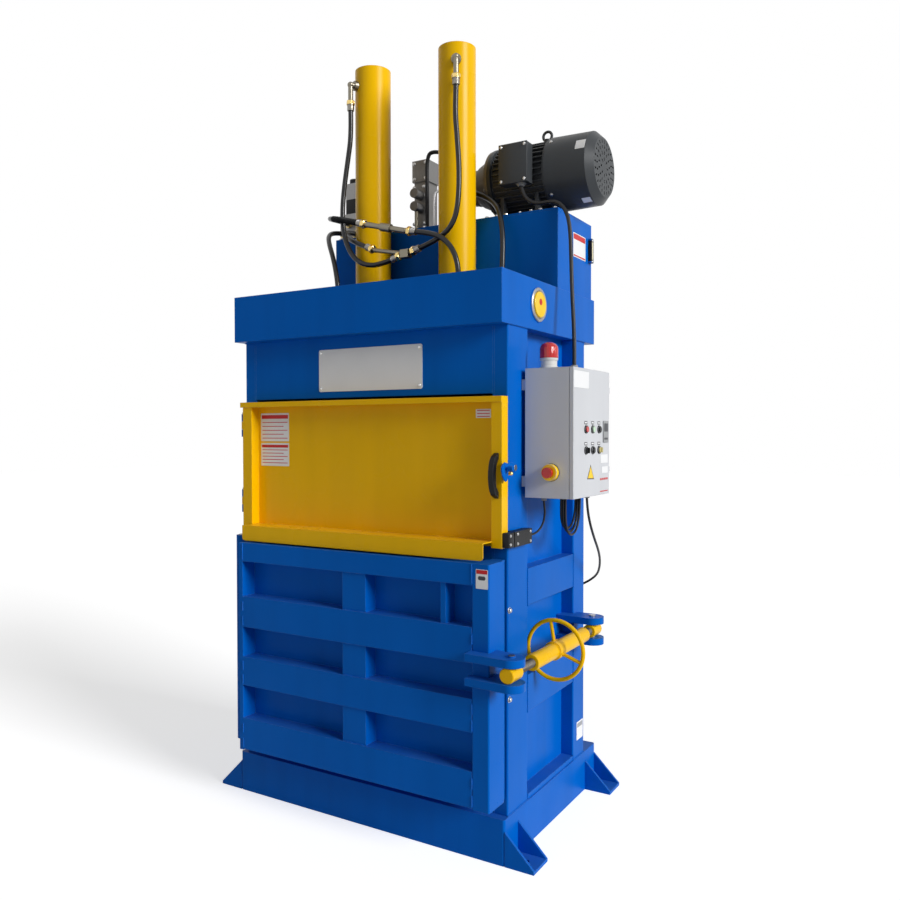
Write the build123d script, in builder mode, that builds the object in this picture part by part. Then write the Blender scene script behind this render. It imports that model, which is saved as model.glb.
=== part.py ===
from build123d import *
import math
import os

# Vertical recycling baler with two press cylinders. Millimetres, +Z up, the front faces -Y.
# The origin is on the floor, under the middle of the base frame.

os.makedirs("parts", exist_ok=True)

# Clearances
fit_gap = 0.05
rest_gap = 0.3
door_gap = 7.0

# Press chamber and body
chamber_width = 1174.0
chamber_depth = 675.0
wall_sheet = 8.0
band_depth = 55.0
front_post = 167.0
rear_post = 121.0
post_bend = 6.0
band_height = 140.0
low_band_rise = 341.0
high_band_rise = 750.0
recess_rise = 20.0

# Base frame and feet
base_height = 170.0
base_sheet = 8.0
base_top_sheet = 12.0
base_side_margin = 5.0
base_front_margin = 35.5
base_rear_margin = 121.5
base_bend = 10.0
base_rib_count = 4
keel_width = 60.0
foot_reach = 117.0
foot_length = 119.0
foot_height = 126.0
foot_plate = 12.0
gusset = 10.0
anchor_bore = 22.0

# Chamber floor and strap channels
sill_height = 65.0
strap_slot = 30.0
strap_depth = 40.0
strap_count = 5
strap_pitch = 210.0
pad_inset = 4.0

# Lower bale door
low_door_height = 881.0
low_door_front = 145.0
low_door_back = 32.0
low_door_left = 97.0
door_plate = 12.0
door_channel = 72.0
stile_width = 70.0
stile_edge = 20.0
rail_heights = (132.0, 121.0, 129.0, 78.0)
rail_bottoms = (5.0, 277.0, 525.0, 803.0)
rail_bend = 45.0
mid_rib_width = 112.0
mid_rib_x = 51.0
mid_rib_setback = 7.0
thin_rib_width = 22.0
thin_rib_x = 457.0
liner_clearance = 8.0
liner_overlap = 10.0
liner_floor_gap = 12.0
liner_top_gap = 6.0
door_return_inset = 10.0
door_return_gap = 6.0
low_hinge_inset = 38.0
low_hinge_front = 66.0
low_knuckle_radius = 24.0
low_pin_radius = 12.0
low_knuckle_count = 7
low_hinge_low = 15.0
low_hinge_rise = 22.0
knuckle_gap = 1.0

# Upper feed door
apron_height = 64.0
apron_reach = 63.0
up_door_overlap = 40.0
up_door_height = 549.0
up_door_depth = 48.0
up_door_stand_off = 12.0
up_door_left = 40.0
up_door_right = 6.0
door_sheet = 4.0
up_stile_left = 51.0
up_stile_right = 43.0
top_rail_height = 22.0
top_rail_reach = 12.0
apron_left = 55.0
apron_right = 43.0
apron_corner = 14.0
up_hinge_outset = 24.0
up_hinge_inset = 28.0
up_knuckle_radius = 11.0
up_pin_radius = 6.0
up_hinge_length = 100.0
up_hinge_zs = (70.0, 400.0)
handle_height = 165.0
handle_reach = 46.0
handle_bar = 15.0
handle_inset = 21.0
handle_z = 262.0

# Latch hook and stud
latch_pivot_back = 16.0
latch_z = 289.0
hook_sheet = 6.0
hook_stand_off = 12.0
hook_reach = 74.0
hook_lobe = 14.0
latch_drop = 25.0
stud_radius = 6.0
stud_notch = 2.5
stud_radius_out = 46.0
latch_pin_radius = 7.0
latch_boss_radius = 11.0
knob_radius = 9.0
knob_stem = 14.0

# Interlock switch
switch_z = 30.0
switch_height = 56.0
switch_depth = 34.0
switch_length = 130.0
key_sheet = 4.0
key_height = 24.0
key_reach = 24.0
key_gap = 1.5
key_inset = 6.0
key_plate = 36.0

# Front panel and cross bar
panel_gap = 12.0
cross_bar_height = 55.0

# Head frame
front_panel_height = 251.0
head_height = 195.0
head_sheet = 10.0
head_plate_sheet = 20.0
head_side_margin = 6.0
head_front_margin = 60.0
head_rear_margin = 99.0
head_rib_sheet = 16.0
head_rib_height = 120.0
head_rib_offset = 125.0
socket_radius = 66.0
socket_reach = 8.0
socket_cap_radius = 50.0
socket_cap_depth = 4.0
socket_cap_reach = 4.0
socket_y = -167.0
socket_rise = 100.0

# Press cylinders
cylinder_x = 220.0
cylinder_y = -43.0
barrel_radius = 80.0
barrel_bore = 70.0
barrel_length = 1180.0
upper_port_drop = 78.0
lower_port_rise = 45.0
piston_top_gap = 4.0
gland_bore_reach = 40.0
rod_hole_gap = 6.0
flange_half = 110.0
flange_back_gap = 3.0
flange_height = 30.0
spigot_height = 45.0
bolt_inset = 18.0
bolt_head = 12.0
bolt_radius = 10.0
rod_radius = 45.0
piston_height = 60.0
cap_thickness = 14.0
press_stroke = 1000.0

# Platen
platen_bottom_gap = 11.0
platen_pad_height = 50.0
platen_plate = 20.0
platen_beam_height = 125.0
platen_beam_width = 60.0
platen_beam_offset = 105.0
platen_end_gap = 7.0
platen_front_gap = 16.0
platen_rear_gap = 8.0
platen_boss_radius = 70.0
guide_width = 60.0
guide_length = 120.0
guide_clearance = 3.0

# Oil tank and power pack
tank_front = 45.0
tank_left = -505.0
tank_height = 500.0
tank_sheet = 5.0
tank_gap = 0.3
lid_sheet = 8.0
motor_y = 235.0
motor_height = 190.0
motor_radius = 130.0
motor_start = 290.0
motor_length = 284.0
fin_count = 36
fin_height = 16.0
fin_width = 5.0
flange_disc = 150.0
motor_foot_length = 60.0
motor_foot_width = 70.0
motor_foot_sheet = 18.0
motor_foot_web = 16.0
motor_foot_inset = 60.0
motor_foot_offset = 95.0
fan_cover_radius = 156.0
fan_cover_length = 212.0
fan_cover_sheet = 3.0
shield_length = 20.0
cover_overlap = 12.0
fan_radius = 120.0
shaft_radius = 19.0
terminal_size = (130.0, 72.0, 165.0)
terminal_x = 445.0
terminal_rise = 18.0
terminal_margin = 24.0
eye_rise = 30.0
eye_boss = 16.0
eye_boss_radius = 16.0
eye_ring_radius = 20.0
eye_bar_radius = 6.0
bell_length = 115.0
bell_radius = 125.0
pump_length = 150.0
pump_radius = 62.0

gauge_y = 376.0
gauge_width = 26.0
gauge_length = 106.0
gauge_drop = 57.0
gauge_reach = 16.0
filler_x = -305.0
filler_inset = 80.0
filler_radius = 34.0
filler_height = 74.0
filler_neck_radius = 24.0
filler_flange_radius = 38.0

# Control box
box_width = 369.0
box_height = 482.0
box_depth = 176.0
box_front = -304.0
box_bottom = 1337.0
box_stand_off = 17.0
box_sheet = 3.0
box_door_depth = 15.0
box_door_gap = 2.0
box_hinge_out = 6.0
box_hinge_radius = 5.0
box_pin_radius = 2.0
box_knuckle = 24.0
box_hinge_inset = 60.0
box_hinge_arm = 20.0
bracket_inset = 60.0
bracket_margin = 6.0
bracket_height = 40.0
mounting_sheet = 12.0
mounting_margin = 24.0
switchgear_rows = (110.0, 250.0)
switchgear_height = 80.0
switchgear_depth = 60.0
button_rows = (255.0, 176.0)
button_columns = (121.0, 189.0, 255.0)
button_radius = 11.0
bezel_radius = 15.0
bezel_height = 5.0
cap_height = 9.0
button_gap = 0.5
button_tail = 6.0
grip_height = 8.0
stop_radius = 31.0
stop_height = 22.0
stop_cap_radius = 20.0
stop_cap_height = 14.0
stop_travel = 5.0
stop_out = 106.0
stop_up = 96.0
stop_stem_radius = 12.0
stop_stem_depth = 4.0
beacon_out = 66.0
beacon_back = 69.0
beacon_base_radius = 33.0
beacon_base_height = 40.0
dome_radius = 35.0
dome_height = 62.0
dome_round = 27.0

# Lock of the lower door
lock_out = 90.0
lock_z = 748.0
near_pin_front = 4.0
lock_span = 757.0
end_block_radius = 28.0
end_block_length = 79.0
lug_sheet = 28.0
lug_gap = 1.0
lug_radius = 48.0
lock_pin_radius = 14.0
stub_gap = 0.5
pin_head = 6.0
thread_radius = 17.0
sleeve_radius = 30.0
sleeve_start = 159.0
sleeve_length = 497.0
sleeve_bore_gap = 0.5
thread_depth = 120.0
wheel_radius = 122.0
wheel_tube = 8.0
wheel_offset = 372.0
wheel_hub_radius = 36.0
wheel_hub_length = 50.0
spoke_radius = 7.0
spoke_count = 3

# Valve blocks on the tank lid
stack_x = -115.0
stack_foot_width = 90.0
stack_foot_depth = 120.0
stack_foot_height = 30.0
stack_body_width = 70.0
stack_body_depth = 90.0
stack_body_height = 225.0
stack_head_width = 86.0
stack_head_depth = 104.0
stack_head_height = 100.0
bar_radius = 22.0
bar_length = 60.0
bar_setback = 75.0
bar_rise = 130.0
bar_pitch = 60.0
valve_setback = 15.0
pilot_x = -430.0
pilot_width = 120.0
pilot_depth = 100.0
pilot_height = 120.0
coil_centre_x = -440.0
coil_width = 60.0
coil_depth = 64.0
coil_height = 150.0
coil_cap_radius = 24.0
coil_cap_height = 24.0

# Hoses and cables
hose_diameter = 22.0
motor_cable_diameter = 16.0
cable_diameter = 10.0
switch_cable_diameter = 8.0
gland_wall = 6.0

# Places worked out from the sizes above
chamber_half = chamber_width / 2
body_half = chamber_half + wall_sheet + band_depth
base_half = body_half + base_side_margin
base_depth = base_front_margin + chamber_depth + wall_sheet + band_depth + base_rear_margin
base_front = -base_depth / 2
base_rear = base_depth / 2
body_front = base_front + base_front_margin
chamber_rear = body_front + chamber_depth
body_rear = chamber_rear + wall_sheet + band_depth
recess_floor_z = base_height + recess_rise
low_band_z = base_height + low_band_rise
high_band_z = base_height + high_band_rise
floor_top = base_height + sill_height
low_door_top = floor_top + low_door_height
apron_bottom = low_door_top + door_gap
ledge_top = apron_bottom + apron_height
up_door_bottom = apron_bottom + up_door_overlap
up_door_top = up_door_bottom + up_door_height
panel_bottom = up_door_top + panel_gap
body_top = panel_bottom + front_panel_height
head_half = body_half + head_side_margin
head_front = body_front - head_front_margin
head_rear = body_rear + head_rear_margin
head_top = body_top + head_height
head_floor = body_top + head_plate_sheet
strap_xs = [strap_pitch * (i - (strap_count - 1) / 2) for i in range(strap_count)]


def block(x0, x1, y0, y1, z0, z1, mode=Mode.ADD):
    """Adds or cuts a box between two corners."""
    with Locations(((x0 + x1) / 2, (y0 + y1) / 2, (z0 + z1) / 2)):
        Box(x1 - x0, y1 - y0, z1 - z0, mode=mode)


def bar(x, y, z, radius, length, axis, mode=Mode.ADD):
    """Adds or cuts a round bar centred on a point, along the X, Y or Z axis."""
    turn = {"X": (0, 90, 0), "Y": (90, 0, 0), "Z": (0, 0, 0)}[axis]
    with Locations(Location((x, y, z), turn)):
        Cylinder(radius, length, mode=mode)


def strap_pads(half_width, y0, y1, z0, z1):
    """Adds the flat pads that leave a strap channel between each pair."""
    edges = [-half_width]
    for x in strap_xs:
        edges += [x - strap_slot / 2, x + strap_slot / 2]
    edges.append(half_width)
    for left, right in zip(edges[0::2], edges[1::2]):
        block(left, right, y0, y1, z0, z1)


# Base frame: folded sides, a top sheet, long ribs and one keel under the middle
with BuildPart() as base_frame:
    with BuildSketch(Plane.XY):
        RectangleRounded(2 * base_half, base_depth, base_bend)
    extrude(amount=base_height)
    inner_top = base_height - base_top_sheet
    block(
        -base_half + base_sheet,
        base_half - base_sheet,
        base_front + base_sheet,
        base_rear - base_sheet,
        0,
        inner_top,
        Mode.SUBTRACT,
    )
    rib_pitch = 2 * base_half / (base_rib_count + 1)
    for i in range(base_rib_count):
        rib_x = -base_half + rib_pitch * (i + 1)
        block(
            rib_x - base_sheet / 2,
            rib_x + base_sheet / 2,
            base_front + base_sheet,
            base_rear - base_sheet,
            0,
            inner_top,
        )
    block(
        -base_half + base_sheet,
        base_half - base_sheet,
        -keel_width / 2,
        keel_width / 2,
        0,
        inner_top,
    )
base_frame.part.label = "base_frame"
export_step(base_frame.part, "parts/base_frame.step")

# Feet: a plate and two gussets at each corner, with an anchor hole
with BuildPart() as anchor_feet:
    for side in (-1, 1):
        for y0 in (base_front, base_rear - foot_length):
            x0 = side * base_half
            x1 = side * (base_half + foot_reach)
            block(min(x0, x1), max(x0, x1), y0, y0 + foot_length, 0, foot_plate)
            bar((x0 + x1) / 2, y0 + foot_length / 2, 0, anchor_bore / 2, 4 * foot_plate, "Z", Mode.SUBTRACT)
            for y in (y0, y0 + foot_length - gusset):
                with BuildSketch(Plane.XZ.offset(-y)):
                    with BuildLine():
                        Polyline(
                            (x0, foot_plate),
                            (x1, foot_plate),
                            (x0, foot_height),
                            close=True,
                        )
                    make_face()
                extrude(amount=-gusset)
anchor_feet.part.label = "anchor_feet"
export_step(anchor_feet.part, "parts/anchor_feet.step")

# Side walls of the chamber: a plate with the bands that cross the recess between the posts
with BuildPart() as side_walls:
    for side in (-1, 1):
        inner = side * chamber_half
        middle = side * (chamber_half + wall_sheet)
        outer = side * body_half
        block(min(inner, middle), max(inner, middle), body_front, body_rear, base_height, body_top)
        for z0, z1 in (
            (base_height, recess_floor_z),
            (low_band_z, low_band_z + band_height),
            (high_band_z, high_band_z + band_height),
        ):
            block(
                min(middle, outer),
                max(middle, outer),
                body_front + front_post,
                body_rear - rear_post,
                z0,
                z1,
            )
side_walls.part.label = "side_walls"
export_step(side_walls.part, "parts/side_walls.step")

# Corner posts: folded channels with rounded outer bends
with BuildPart() as corner_posts:
    for side in (-1, 1):
        for y0, depth, front in ((body_front, front_post, 1), (body_rear - rear_post, rear_post, -1)):
            inner = side * (chamber_half + wall_sheet)
            outer = side * body_half
            with BuildSketch(Plane.XY.offset(base_height)) as post:
                with Locations(((inner + outer) / 2, y0 + depth / 2)):
                    Rectangle(band_depth, depth)
                bends = post.vertices().sort_by(Axis.X)
                fillet(bends[2:] if side > 0 else bends[:2], post_bend)
            extrude(amount=body_top - base_height)
corner_posts.part.label = "corner_posts"
export_step(corner_posts.part, "parts/corner_posts.step")

# Rear wall of the chamber: a plate and its bands
with BuildPart() as rear_wall:
    block(-chamber_half, chamber_half, chamber_rear, chamber_rear + wall_sheet, base_height, body_top)
    for z0 in (base_height, low_band_z, high_band_z, body_top - band_height):
        block(
            -chamber_half,
            chamber_half,
            chamber_rear + wall_sheet,
            body_rear,
            z0,
            z0 + band_height,
        )
rear_wall.part.label = "rear_wall"
export_step(rear_wall.part, "parts/rear_wall.step")

# Chamber floor: a plate and raised pads with strap channels between them
with BuildPart() as chamber_floor:
    block(-chamber_half, chamber_half, body_front, chamber_rear, base_height, floor_top - strap_depth)
    strap_pads(chamber_half, body_front, chamber_rear, floor_top - strap_depth, floor_top)
chamber_floor.part.label = "chamber_floor"
export_step(chamber_floor.part, "parts/chamber_floor.step")

# Front panel above the feed opening, and the cross bar between the doors
cross_bar_bottom = up_door_bottom - cross_bar_height
with BuildPart() as front_panels:
    for z0, z1 in ((panel_bottom, body_top), (cross_bar_bottom, up_door_bottom)):
        block(-chamber_half, chamber_half, body_front, body_front + wall_sheet, z0, z1)
front_panels.part.label = "front_panels"
export_step(front_panels.part, "parts/front_panels.step")

# Head frame: skirt, plate with rod holes, and ribs beside the cylinders
with BuildPart() as head_skirt:
    block(-head_half, head_half, head_front, head_front + head_sheet, body_top, head_top)
    block(-head_half, head_half, head_rear - head_sheet, head_rear, body_top, head_top)
    for side in (-1, 1):
        x0 = side * (head_half - head_sheet)
        x1 = side * head_half
        block(
            min(x0, x1),
            max(x0, x1),
            head_front + head_sheet,
            head_rear - head_sheet,
            body_top,
            head_top,
        )
head_skirt.part.label = "head_skirt"
export_step(head_skirt.part, "parts/head_skirt.step")

with BuildPart() as head_plate:
    block(
        -head_half + head_sheet,
        head_half - head_sheet,
        head_front + head_sheet,
        head_rear - head_sheet,
        body_top,
        head_floor,
    )
    for side in (-1, 1):
        hole_radius = rod_radius + rod_hole_gap
        bar(side * cylinder_x, cylinder_y, body_top, hole_radius, 4 * head_plate_sheet, "Z", Mode.SUBTRACT)
        for offset_x in (-head_rib_offset, head_rib_offset):
            rib_x = side * cylinder_x + offset_x
            block(
                rib_x - head_rib_sheet / 2,
                rib_x + head_rib_sheet / 2,
                head_front + head_sheet,
                tank_front - tank_gap,
                head_floor,
                head_floor + head_rib_height,
            )
head_plate.part.label = "head_plate"
export_step(head_plate.part, "parts/head_plate.step")

# Lifting sockets on both ends of the head, each closed by a cap
socket_z = body_top + socket_rise
with BuildPart() as lifting_sockets:
    for side in (-1, 1):
        rim_x = side * (head_half + socket_reach)
        bar(side * (head_half + socket_reach / 2), socket_y, socket_z, socket_radius, socket_reach, "X")
        bar(rim_x, socket_y, socket_z, socket_cap_radius, 2 * socket_cap_depth, "X", Mode.SUBTRACT)
        cap_length = socket_cap_depth + socket_cap_reach - rest_gap
        bar(
            rim_x + side * (socket_cap_reach - cap_length / 2),
            socket_y,
            socket_z,
            socket_cap_radius - rest_gap,
            cap_length,
            "X",
        )
lifting_sockets.part.label = "lifting_sockets"
export_step(lifting_sockets.part, "parts/lifting_sockets.step")

# Press cylinders: flange with gland, barrel with top cap, rod with piston
barrel_foot = head_floor + flange_height
barrel_top = barrel_foot + barrel_length
with BuildPart() as cylinder_glands:
    for side in (-1, 1):
        x = side * cylinder_x
        flange_front = cylinder_y - flange_half
        flange_back = tank_front - flange_back_gap
        block(x - flange_half, x + flange_half, flange_front, flange_back, head_floor, barrel_foot)
        bar(x, cylinder_y, barrel_foot + spigot_height / 2, barrel_bore - fit_gap, spigot_height, "Z")
        for bolt_x in (x - flange_half + bolt_inset, x + flange_half - bolt_inset):
            for bolt_y in (flange_front + bolt_inset, flange_back - bolt_inset):
                bar(bolt_x, bolt_y, barrel_foot + bolt_head / 2, bolt_radius, bolt_head, "Z")
        bore_length = 4 * flange_height + gland_bore_reach
        bar(x, cylinder_y, barrel_foot, rod_radius + fit_gap, bore_length, "Z", Mode.SUBTRACT)
cylinder_glands.part.label = "cylinder_glands"
export_step(cylinder_glands.part, "parts/cylinder_glands.step")

upper_port_z = barrel_top - upper_port_drop
lower_port_z = barrel_foot + lower_port_rise
with BuildPart() as cylinder_barrels:
    for side in (-1, 1):
        x = side * cylinder_x
        height = barrel_top - barrel_foot
        bar(x, cylinder_y, barrel_foot + height / 2, barrel_radius, height, "Z")
    for side in (-1, 1):
        x = side * cylinder_x
        height = barrel_top - cap_thickness - barrel_foot
        bar(x, cylinder_y, barrel_foot + height / 2, barrel_bore, height, "Z", Mode.SUBTRACT)
cylinder_barrels.part.label = "cylinder_barrels"
export_step(cylinder_barrels.part, "parts/cylinder_barrels.step")

platen_bottom = panel_bottom + platen_bottom_gap
platen_top = platen_bottom + platen_pad_height + platen_plate + platen_beam_height
with BuildPart() as piston_rods:
    for side in (-1, 1):
        x = side * cylinder_x
        piston_top = barrel_top - cap_thickness - piston_top_gap
        bar(x, cylinder_y, piston_top - piston_height / 2, barrel_bore - fit_gap, piston_height, "Z")
        rod_length = piston_top - piston_height - platen_top
        bar(x, cylinder_y, platen_top + rod_length / 2, rod_radius, rod_length, "Z")
piston_rods.part.label = "piston_rods"
export_step(piston_rods.part, "parts/piston_rods.step")

# Platen: slotted pads below, a plate, two beams, end ribs and rod bosses
platen_half = chamber_half - platen_end_gap
platen_front = body_front + platen_front_gap
platen_rear = chamber_rear - platen_rear_gap
pad_top = platen_bottom + platen_pad_height
beam_foot = pad_top + platen_plate
with BuildPart() as platen_pads:
    strap_pads(platen_half, platen_front, platen_rear, platen_bottom, pad_top)
platen_pads.part.label = "platen_pads"
export_step(platen_pads.part, "parts/platen_pads.step")

with BuildPart() as platen_body:
    block(-platen_half, platen_half, platen_front, platen_rear, pad_top, beam_foot)
    for offset_y in (-platen_beam_offset, platen_beam_offset):
        block(
            -platen_half,
            platen_half,
            cylinder_y + offset_y - platen_beam_width / 2,
            cylinder_y + offset_y + platen_beam_width / 2,
            beam_foot,
            platen_top,
        )
    for side in (-1, 1):
        bar(
            side * cylinder_x,
            cylinder_y,
            beam_foot + platen_beam_height / 2,
            platen_boss_radius,
            platen_beam_height,
            "Z",
        )
        x0 = side * (platen_half - 20)
        x1 = side * platen_half
        block(
            min(x0, x1),
            max(x0, x1),
            cylinder_y - platen_beam_offset,
            cylinder_y + platen_beam_offset,
            beam_foot,
            platen_top,
        )
        guide_x = side * (chamber_half - guide_clearance)
        for y in (platen_front + guide_width / 2, platen_rear - guide_width / 2):
            block(
                min(x0, guide_x),
                max(x0, guide_x),
                y - guide_width / 2,
                y + guide_width / 2,
                pad_top,
                pad_top + guide_length,
            )
platen_body.part.label = "platen_body"
export_step(platen_body.part, "parts/platen_body.step")

# Oil tank with lid, filler cap and level gauge
tank_right = head_half - head_sheet - tank_gap
tank_rear = head_rear - head_sheet - tank_gap
tank_top = head_floor + tank_height
lid_top = tank_top + lid_sheet
with BuildPart() as oil_tank:
    block(tank_left, tank_right, tank_front, tank_rear, head_floor, tank_top)
    block(
        tank_left + tank_sheet,
        tank_right - tank_sheet,
        tank_front + tank_sheet,
        tank_rear - tank_sheet,
        head_floor + tank_sheet,
        tank_top,
        Mode.SUBTRACT,
    )
    gauge_z = tank_top - gauge_drop
    block(tank_right, tank_right + gauge_reach, gauge_y, gauge_y + gauge_width, gauge_z - gauge_length, gauge_z)
oil_tank.part.label = "oil_tank"
export_step(oil_tank.part, "parts/oil_tank.step")

with BuildPart() as tank_lid:
    block(tank_left, tank_right, tank_front, tank_rear, tank_top, lid_top)
    filler_y = tank_rear - filler_inset
    with BuildSketch(Plane(origin=(filler_x, filler_y, lid_top), x_dir=(1, 0, 0), z_dir=(0, -1, 0))):
        with BuildLine():
            Polyline(
                (0, rest_gap),
                (filler_flange_radius, rest_gap),
                (filler_flange_radius, 10),
                (filler_neck_radius, 16),
                (filler_neck_radius, 30),
                (filler_radius, 34),
                (filler_radius, filler_height - 8),
                (filler_radius - 6, filler_height),
                (0, filler_height),
                close=True,
            )
        make_face()
    revolve(axis=Axis((filler_x, filler_y, lid_top), (0, 0, 1)))
tank_lid.part.label = "tank_lid"
export_step(tank_lid.part, "parts/tank_lid.step")

# Electric motor: finned housing with feet, fan cover, fan and shaft, terminal box, eye bolt
motor_z = lid_top + motor_height
motor_end = motor_start + motor_length
eye_x = motor_end - 60
fin_tip = motor_radius + fin_height
eye_foot = motor_z + fin_tip + rest_gap
with BuildPart() as motor_housing:
    with BuildSketch(Plane.YZ.offset(motor_start)):
        with Locations((motor_y, motor_z)):
            Circle(motor_radius)
    extrude(amount=motor_length)
    with BuildSketch(Plane.YZ.offset(motor_start + 24)):
        with Locations((motor_y, motor_z)):
            with PolarLocations(motor_radius + fin_height / 2 - 1, fin_count):
                Rectangle(fin_height + 2, fin_width)
    extrude(amount=motor_length - 48)
    bar(motor_start + 8, motor_y, motor_z, flange_disc, 16, "X")
    shield_radius = fan_cover_radius - fan_cover_sheet - rest_gap
    bar(motor_end - shield_length / 2, motor_y, motor_z, shield_radius, shield_length, "X")
    wide, deep, tall = terminal_size
    terminal_z = motor_z + terminal_rise
    block(
        terminal_x - wide / 2 + terminal_margin,
        terminal_x + wide / 2 - terminal_margin,
        motor_y - fin_tip,
        motor_y - motor_radius + fin_height,
        terminal_z - tall / 2 + terminal_margin,
        terminal_z + tall / 2 - terminal_margin,
    )
    bar(motor_start, motor_y, motor_z, shaft_radius + fit_gap, 3 * motor_length, "X", Mode.SUBTRACT)
    terminal_back = motor_y - fin_tip - rest_gap
    terminal_front = motor_y - motor_radius - deep
    block(
        terminal_x - wide / 2,
        terminal_x + wide / 2,
        terminal_front,
        terminal_back,
        terminal_z - tall / 2,
        terminal_z + tall / 2,
    )
    bar(eye_x, motor_y, eye_foot + eye_boss / 2, eye_boss_radius, eye_boss, "Z")
    with Locations(Location((eye_x, motor_y, eye_foot + eye_rise), (90, 0, 0))):
        Torus(eye_ring_radius, eye_bar_radius)

# Motor feet: pads on the tank's lid with webs that reach up to the fins
with BuildPart() as motor_feet:
    for x in (motor_start + motor_foot_inset, motor_end - motor_foot_inset):
        for side in (-1, 1):
            foot_y = motor_y + side * motor_foot_offset
            block(
                x - motor_foot_length / 2,
                x + motor_foot_length / 2,
                foot_y - motor_foot_width / 2,
                foot_y + motor_foot_width / 2,
                lid_top,
                lid_top + motor_foot_sheet,
            )
            block(
                x - motor_foot_web / 2,
                x + motor_foot_web / 2,
                foot_y - motor_foot_width / 4,
                foot_y + motor_foot_width / 4,
                lid_top + motor_foot_sheet,
                motor_z,
            )
    bar(
        (motor_start + motor_end) / 2,
        motor_y,
        motor_z,
        fin_tip + rest_gap,
        motor_length,
        "X",
        Mode.SUBTRACT,
    )
with motor_housing:
    add(motor_feet.part)
motor_housing.part.label = "motor_housing"
export_step(motor_housing.part, "parts/motor_housing.step")

cover_x = motor_end - cover_overlap
with BuildPart() as fan_cover:
    with BuildSketch(Plane(origin=(cover_x, motor_y, motor_z), x_dir=(1, 0, 0), z_dir=(0, 0, 1))):
        with BuildLine():
            Polyline(
                (0, fan_cover_radius - fan_cover_sheet),
                (0, fan_cover_radius),
                (fan_cover_length - 30, fan_cover_radius - 4),
                (fan_cover_length, fan_cover_radius - 34),
                (fan_cover_length, 0),
                (fan_cover_length - fan_cover_sheet, 0),
                (fan_cover_length - fan_cover_sheet, fan_cover_radius - 35),
                (fan_cover_length - 31, fan_cover_radius - 4 - fan_cover_sheet),
                close=True,
            )
        make_face()
    revolve(axis=Axis((cover_x, motor_y, motor_z), (1, 0, 0)))
    with BuildSketch(Plane(origin=(cover_x + fan_cover_length - 8, motor_y, motor_z), z_dir=(1, 0, 0))):
        for ring, count in ((34, 8), (60, 14), (84, 20), (106, 24)):
            with PolarLocations(ring, count):
                Rectangle(15, 7)
    extrude(amount=16, mode=Mode.SUBTRACT)
fan_cover.part.label = "fan_cover"
export_step(fan_cover.part, "parts/fan_cover.step")

with BuildPart() as motor_fan:
    bar(motor_end + 60, motor_y, motor_z, 40, 60, "X")
    with BuildSketch(Plane.YZ.offset(motor_end + 40)):
        with Locations((motor_y, motor_z)):
            with PolarLocations(fan_radius / 2 + 18, 8):
                Rectangle(fan_radius - 36, 6)
    extrude(amount=50)
    bar((motor_start + motor_end + 90) / 2, motor_y, motor_z, shaft_radius, motor_length + 90, "X")
motor_fan.part.label = "motor_fan"
export_step(motor_fan.part, "parts/motor_fan.step")

# Bell housing, pump, valve block and the solenoid valve
bell_start = motor_start - bell_length
with BuildPart() as bell_housing:
    with BuildSketch(Plane(origin=(bell_start, motor_y, motor_z), x_dir=(1, 0, 0), z_dir=(0, 0, 1))):
        with BuildLine():
            Polyline(
                (0, 30),
                (0, 80),
                (14, 80),
                (30, 92),
                (bell_length - 16, bell_radius),
                (bell_length - 16, flange_disc - 4),
                (bell_length, flange_disc - 4),
                (bell_length, 30),
                close=True,
            )
        make_face()
    revolve(axis=Axis((bell_start, motor_y, motor_z), (1, 0, 0)))
bell_housing.part.label = "bell_housing"
export_step(bell_housing.part, "parts/bell_housing.step")

pump_start = bell_start - pump_length
with BuildPart() as pump:
    bar(bell_start - pump_length / 2, motor_y, motor_z, pump_radius, pump_length, "X")
    bar(bell_start - 10, motor_y, motor_z, 76, 20, "X")
    bar(pump_start + 20, motor_y, motor_z, 70, 24, "X")
    block(pump_start + 44, pump_start + 104, motor_y - 84, motor_y, motor_z - 30, motor_z + 30)
pump.part.label = "pump"
export_step(pump.part, "parts/pump.step")

valve_front = tank_front + valve_setback
stack_heights = (stack_foot_height, stack_body_height, stack_head_height)
stack_widths = (stack_foot_width, stack_body_width, stack_head_width)
stack_depths = (stack_foot_depth, stack_body_depth, stack_head_depth)
pilot_top = lid_top + pilot_height
pilot_y = valve_front + pilot_depth / 2
coil_top = pilot_top + coil_height
with BuildPart() as valve_blocks:
    stack_foot = lid_top
    for width, depth, height in zip(stack_widths, stack_depths, stack_heights):
        left, front = stack_x - width / 2, motor_y - depth / 2
        block(left, left + width, front, front + depth, stack_foot, stack_foot + height)
        stack_foot += height
    for rise in (bar_rise, bar_rise + bar_pitch):
        bar(stack_x, motor_y - bar_setback, lid_top + rise, bar_radius, bar_length, "Y")
    block(
        pilot_x - pilot_width / 2,
        pilot_x + pilot_width / 2,
        valve_front,
        valve_front + pilot_depth,
        lid_top,
        pilot_top,
    )
    block(
        coil_centre_x - coil_width / 2,
        coil_centre_x + coil_width / 2,
        pilot_y - coil_depth / 2,
        pilot_y + coil_depth / 2,
        pilot_top,
        coil_top,
    )
    bar(coil_centre_x, pilot_y, coil_top + coil_cap_height / 2, coil_cap_radius, coil_cap_height, "Z")
valve_blocks.part.label = "valve_blocks"
export_step(valve_blocks.part, "parts/valve_blocks.step")


def corner_radii(points):
    """Returns the arc radius at each inner corner of a cord's route."""
    radii = []
    for before, here, after in zip(points, points[1:], points[2:]):
        first = Vector(*here) - Vector(*before)
        second = Vector(*after) - Vector(*here)
        half_turn = math.radians(first.get_angle(second)) / 2
        radii.append(0.45 * min(first.length, second.length) / math.tan(half_turn))
    return radii


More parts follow.
